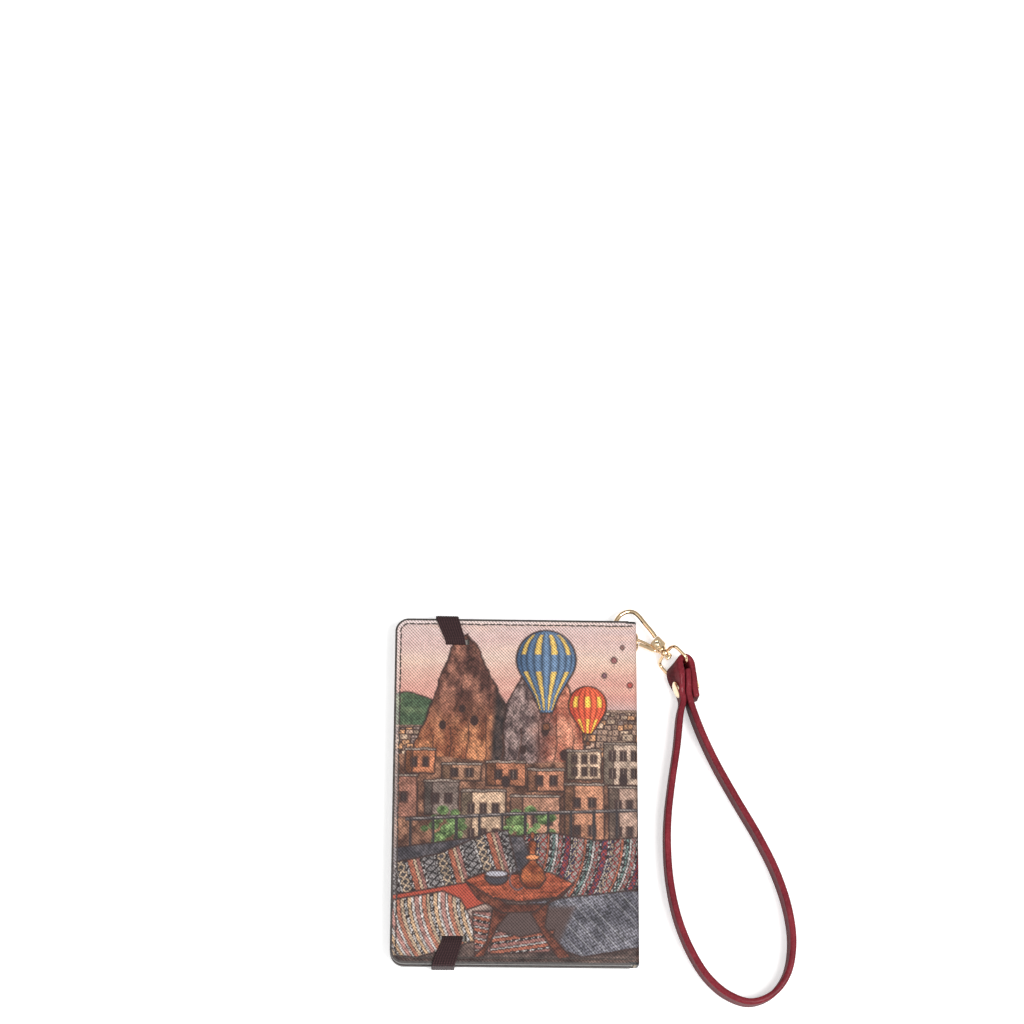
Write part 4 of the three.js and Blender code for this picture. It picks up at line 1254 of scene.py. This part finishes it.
hook = Parts()
path = smooth_path([(x, y, MID) for x, y in HOOK_ROUTE], 14)
share = np.linspace(0, 1, len(path))
tip = 1 - smoothstep(0.985, 1.0, share)
hook.add(*tube(path, 0.95 * (0.7 + 0.3 * np.sqrt(tip)), 24))
cheek = filleted([(-2.4, 0.2), (-2.4, 2.7), (2.4, 2.7), (2.4, -2.2), (-1.9, -2.2), (-2.4, -1.4),
                  (-2.4, 0.2), (-2.4, 0.8)], 0.7, 5)[:-2]
for z0, z1 in ((1.2, 2.0), (-2.0, -1.2)):
    outline_plate(hook, cheek, z0, z1, 0.22)
hook.add(*clasp_box((-2.2, 2.15, -1.7), (1.9, 2.75, 1.7), 0.25))
hook.add(*clasp_box((1.7, -1.9, -1.8), (2.4, 2.4, 1.8), 0.25))
neck = [(0, 1.9), (1.95, 1.95), (2.1, 2.15), (2.1, 2.9), (1.95, 3.3), (1.5, 3.55), (0.9, 3.6),
        (0.85, 3.75), (0.85, 6.0), (0, 6.05)]
hook.add(*lathe(neck, CLASP, ALONG, 40))
for s in (2.45, 2.85):
    ridge = [(2.0, s - 0.12), (2.22, s), (2.0, s + 0.12), (1.9, s), (2.0, s - 0.12)]
    hook.add(*lathe(ridge, CLASP, ALONG, 40))
hook.add(*clasp_box((5.9, -1.35, -1.35), (7.65, 1.35, 1.35), 0.32))
hook.add(*lathe([(0, 7.6), (0.7, 7.65), (0.6, 7.85), (0, 7.95)], CLASP, ALONG, 24))
hook.piece("clasp_hook", GOLD, body="clasp", slot="gold_metal", replaces=("clasp_body",), angle=45)

pin = Parts()
for sign in (1, -1):
    head = [(0, 1.0), (0.5, 1.0), (0.5, 1.95), (1.45, 1.98), (1.5, 2.12), (1.38, 2.34), (1.1, 2.36),
            (0.95, 2.26), (0.8, 2.36), (0.4, 2.5), (0, 2.52)]
    pin.add(*lathe(head, CLASP, UP * sign, 36))
pin.add(*lathe([(0, -1.1), (0.48, -1.1), (0.48, 1.1), (0, 1.1)], CLASP, UP, 24))
pin.piece("clasp_rivet", BRIGHT, body="clasp", slot="gold_metal", replaces=("clasp_pin",), angle=50)

gate = Parts()
GATE_LINE = [(59.0, 62.3), (58.7, 60.7), (57.6, 60.05), (55.8, 60.7), (53.6, 61.6), (51.5, 62.4)]
gate_path = smooth_path([(x, y, MID) for x, y in GATE_LINE], 8)


def flat_bar(path, wide, tall):
    """A bar of rounded rectangular section that lies in XY."""
    way = tangents(path)
    section = filleted([(-1, -0.2), (-1, -1), (1, -1), (1, 1), (-1, 1), (-1, -0.2), (-1, 0)], 0.5, 4)[:-2]
    wide = np.broadcast_to(wide, (len(path),))
    rings = []
    for point, forward, w in zip(path, way, wide):
        side = np.cross(forward, UP)
        rings.append(point + np.outer(section[:, 0] * w / 2, side) + np.outer(section[:, 1] * tall / 2, UP))
    return loft(rings)


gate.add(*flat_bar(gate_path, np.linspace(1.8, 1.3, len(gate_path)), 1.75))
boss = [(0.6, -0.9), (1.35, -0.9), (1.45, -0.75), (1.45, 0.75), (1.35, 0.9), (0.6, 0.9), (0.6, -0.9)]
gate.add(*lathe(boss, CLASP, UP, 40))
lever = smooth_path([(57.6, 60.9, MID), (56.2, 61.8, MID), (54.6, 62.7, MID), (50.9, 64.4, MID)], 8)
gate.add(*flat_bar(lever, np.linspace(1.2, 0.95, len(lever)), 1.6))
gate.piece("clasp_gate_lever", GOLD, body="gate", slot="gold_metal", replaces=("clasp_gate",), angle=45)

spring = Parts()
LEAF_HALF = 0.09                 # half of the leaf's thickness
leaf = in_clasp([(-1.6 + 0.25 * k, 1.85 + 0.06 * math.sin(k * 0.26), 0) for k in range(13)])
way = tangents(leaf)
rings = []
for point, forward in zip(leaf, way):
    side = np.cross(forward, UP)
    rings.append([point + a * side + b * UP for a, b in rect(-LEAF_HALF, -0.8, LEAF_HALF, 0.8)])
spring.add(*loft(rings))
spring.piece("gate_leaf_spring", STEEL, body="clasp", slot="spring_steel", replaces=("gate_spring",))


# ---------------------------------------------------------------- swivel eye
EYE_LEAN = math.radians(60)
BAR = ACROSS * math.cos(EYE_LEAN) + UP * math.sin(EYE_LEAN)
EYE_MIDDLE, EYE_HALF_LENGTH, EYE_HALF_WIDTH, EYE_SQUARENESS = 9.5, 4.6, 7.6, 4.0
EYE_WIRE = 0.72
eye = Parts()
loop = []
for k in range(96):
    a = 2 * math.pi * k / 96
    c, s = math.cos(a), math.sin(a)
    wide = math.copysign(abs(c) ** (2 / EYE_SQUARENESS), c)
    long = math.copysign(abs(s) ** (2 / EYE_SQUARENESS), s)
    loop.append(CLASP + BAR * EYE_HALF_WIDTH * wide + ALONG * (EYE_MIDDLE + EYE_HALF_LENGTH * long))
loop = resample(np.vstack([loop, loop[:1]]), 0.45)[:-1]
eye.add(*tube(loop, EYE_WIRE, 20, looped=True, start=tuple(np.cross(ALONG, BAR))))
collar = [(1.1, 3.85), (1.75, 3.85), (1.95, 4.05), (1.95, 5.3), (1.75, 5.55), (1.1, 5.55), (1.1, 3.85)]
eye.add(*lathe(collar, CLASP, ALONG, 40))
eye.piece("swivel_loop", GOLD, body="eye", slot="gold_metal", replaces=("swivel_eye",), angle=50)


# ---------------------------------------------------------------- wrist strap
STRAP_WIDTH, STRAP_THICK = 12.0, 2.6
STRAP_Z = FLOOR + STRAP_WIDTH / 2 + 0.05
LAYER = STRAP_THICK + 0.25
FOLD = CLASP + ALONG * (EYE_MIDDLE + EYE_HALF_LENGTH)
DOWN = np.array((0.1, -1.0, 0.0))
FIRST_WAY = unit(DOWN - BAR * np.dot(DOWN, BAR))
second = FOLD + FIRST_WAY * 4
second[2] = MID
BUNDLE = smooth_path([FOLD, second, (71.0, 44.0, 5.1), (71.9, 39.5, STRAP_Z), (73.1, 35.0, STRAP_Z)], 40)
BUNDLE_AT = distances(BUNDLE)
BUNDLE_WAY = tangents(BUNDLE)


def width_way(point):
    """The strap's width lies along the eye's bar at the fold and turns upright below it."""
    far = smoothstep(2.5, 11.5, np.linalg.norm(point - FOLD))
    return unit(BAR * (1 - far) + UP * far)


def bundle_frame(distance):
    point = at_distance(distance, BUNDLE_AT, BUNDLE)
    way = unit(at_distance(distance, BUNDLE_AT, BUNDLE_WAY))
    return point, way, unit(np.cross(width_way(point), way))


def in_bundle(distance, layer):
    point, _, side = bundle_frame(distance)
    return point + side * layer * LAYER


LOOP = [(68.1, 33.0), (66.6, 19.5), (64.2, 4.0), (62.5, -10.0), (62.1, -22.5), (63.0, -36.5), (65.9, -51.0),
        (70.9, -64.0), (77.6, -74.8), (85.8, -81.8), (94.8, -84.6), (103.2, -81.6), (109.4, -74.0),
        (112.1, -62.0),
        (110.9, -48.0), (106.2, -32.5), (99.2, -17.8), (90.3, -2.2), (82.2, 12.8), (76.6, 25.3)]
route = [in_bundle(d, 1) for d in (13.5, 10, 7, 4, 2)]
for k in range(7):
    turn = math.pi * k / 6
    point, way, side = bundle_frame(0)
    route.append(point + side * LAYER * math.cos(turn) - way * LAYER * math.sin(turn))
route += [in_bundle(d, -1) for d in (2, 4, 7, 10, 13.5)]
route += [np.array((x, y, STRAP_Z)) for x, y in LOOP]
route += [in_bundle(d, 0) for d in (17, 15, 12, 9, 6, 2.6)]


def strap_section():
    """The strap's section of width and thickness: slightly crowned faces and rounded edges."""
    w, t = STRAP_WIDTH / 2 - 1.0, STRAP_THICK / 2
    points = []
    for corner_w, corner_t, first in ((1, 1, 0), (-1, 1, 1), (-1, -1, 2), (1, -1, 3)):
        for k in range(6):
            a = math.radians(90 * first + 18 * k)
            points.append((corner_w * w + math.cos(a), corner_t * (t - 0.95) + 0.95 * math.sin(a)))
        if first in (0, 2):
            sign = 1 if first == 0 else -1
            for u in (0.75, 0.5, 0.25, 0, -0.25, -0.5, -0.75):
                points.append((sign * u * w, sign * (t - 0.03 * (1 - u * u) * 4)))
    return np.array(points)


def strap_piece():
    path = smooth_path(route, 8)
    way = tangents(path)
    section = strap_section()
    rings = []
    for point, forward in zip(path, way):
        wide = width_way(point)
        thick = unit(np.cross(forward, wide))
        rings.append(point + np.outer(section[:, 0], wide) + np.outer(section[:, 1], thick))
    for end in (0, -1):
        rings[end] = rings[end].mean(0) + (rings[end] - rings[end].mean(0)) * 0.93
    verts, faces = loft(rings)
    verts[:, 2] = np.maximum(verts[:, 2], FLOOR + 0.02)
    new_piece("strap_leather", verts, faces, STRAP, body="strap", slot="strap", replaces=("wrist_strap",),
              angle=70)


strap_piece()
RIVET_AT = 7.6                   # from the fold
rivet_point, _, rivet_side = bundle_frame(RIVET_AT)
SEAT = LAYER + STRAP_THICK / 2   # the bundle's outer face, from its middle
cap = [(0, SEAT - 0.6), (3.3, SEAT - 0.4), (3.55, SEAT + 0.05), (3.6, SEAT + 0.25), (3.4, SEAT + 0.55),
       (2.6, SEAT + 0.85), (1.3, SEAT + 1.0), (0, SEAT + 1.05)]
back_cap = [(0, SEAT - 0.6), (2.8, SEAT - 0.3), (3.0, SEAT + 0.3), (2.7, SEAT + 0.75), (1.0, SEAT + 0.9),
            (0, SEAT + 0.8)]
gold_piece("strap_rivet_cap", lathe(cap, rivet_point, -rivet_side, 48), "strap", "rivet_cap", BRIGHT)
gold_piece("strap_rivet_back", lathe(back_cap, rivet_point, rivet_side, 48), "strap", "rivet_back")

# ---------------------------------------------------------------- nodes that stay as they are
for node in ("front_board", "back_board", "spine_stiffener"):
    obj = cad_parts[node]
    obj.data.materials.clear()
    obj.data.materials.append(BOARD)


# ---------------------------------------------------------------- floor, light and camera
FLOOR_HALF = 3.0                 # metres, as are the lights' and the camera's places below
mesh = bpy.data.meshes.new("floor")
corners = rect(-FLOOR_HALF, -FLOOR_HALF, FLOOR_HALF, FLOOR_HALF)
mesh.from_pydata([(x, y, FLOOR * MM) for x, y in corners], [], [(0, 1, 2, 3)])
floor = bpy.data.objects.new("floor", mesh)
bpy.context.scene.collection.objects.link(floor)
paper = Look("pale_floor", roughness=0.9, specular_ior_level=0.1, emission_strength=0.42)
tone = paper.ramp(paper.noise(paper.place(), 0.02, 2.0), (0.3, (0.90, 0.90, 0.90)),
                  (0.7, (0.92, 0.92, 0.92)))
mesh.materials.append(paper.done(tone))


def area_light(name, place, target, size, power, colour=(1, 1, 1)):
    data = bpy.data.lights.new(name, "AREA")
    data.shape, data.size, data.energy, data.color = "DISK", size, power, colour
    light = bpy.data.objects.new(name, data)
    light.location = Vector(place)
    light.rotation_euler = (Vector(target) - Vector(place)).to_track_quat("-Z", "Y").to_euler()
    bpy.context.scene.collection.objects.link(light)


MIDDLE = (0.02, 0.0, 0.0)
area_light("key", (0.45, -0.25, 1.2), MIDDLE, 0.5, 11.5)
area_light("fill", (-0.9, -0.3, 1.0), MIDDLE, 1.2, 4.5)
area_light("front_strip", (0.1, -1.1, 0.5), MIDDLE, 0.5, 2.0)

ROOM_STRENGTH = 0.62
world = bpy.data.worlds.new("studio")
bpy.context.scene.world = world
world.use_nodes = True
# The room is bright overhead and dim near the horizon, higher up on its far side, which gives
# the metal its dark lines.
tree = world.node_tree
direction = tree.nodes.new("ShaderNodeTexCoord").outputs["Generated"]
height = tree.nodes.new("ShaderNodeVectorMath")
height.operation = "DOT_PRODUCT"
height.inputs[1].default_value = (0, -0.35, 1)
tree.links.new(direction, height.inputs[0])
room = tree.nodes.new("ShaderNodeValToRGB")
tree.links.new(height.outputs["Value"], room.inputs["Fac"])
room_stops = ((0.0, 0.5), (0.08, 0.03), (0.42, 0.03), (0.52, 1.0))
for _ in room_stops[2:]:
    room.color_ramp.elements.new(0.5)
for element, (position, grey) in zip(room.color_ramp.elements, room_stops):
    element.position, element.color = position, (grey, grey, grey, 1)
tree.links.new(room.outputs["Color"], tree.nodes["Background"].inputs["Color"])
tree.nodes["Background"].inputs["Strength"].default_value = ROOM_STRENGTH
bpy.context.scene.view_settings.view_transform = "Standard"

AIM = Vector((-1.94, 117.48, 12.0)) * MM
CAMERA_DISTANCE, LENS = 1.10, 92.15
TILT, YAW, ROLL = math.radians(16.82), math.radians(-1.705), math.radians(0.268)
back = Vector((math.sin(YAW), -math.sin(TILT) * math.cos(YAW), math.cos(TILT) * math.cos(YAW)))
rise = (Vector((0, 1, 0)) - back * back.y).normalized()
level = rise.cross(back)
right = math.cos(ROLL) * level + math.sin(ROLL) * rise
upward = -math.sin(ROLL) * level + math.cos(ROLL) * rise
data = bpy.data.cameras.new("camera")
data.lens, data.sensor_width = LENS, 36.0
data.clip_start, data.clip_end = 0.01, 20.0
camera = bpy.data.objects.new("camera", data)
place = AIM + back * CAMERA_DISTANCE
camera.matrix_world = Matrix(((right.x, upward.x, back.x, place.x), (right.y, upward.y, back.y, place.y),
                              (right.z, upward.z, back.z, place.z), (0, 0, 0, 1)))
bpy.context.scene.collection.objects.link(camera)
bpy.context.scene.camera = camera
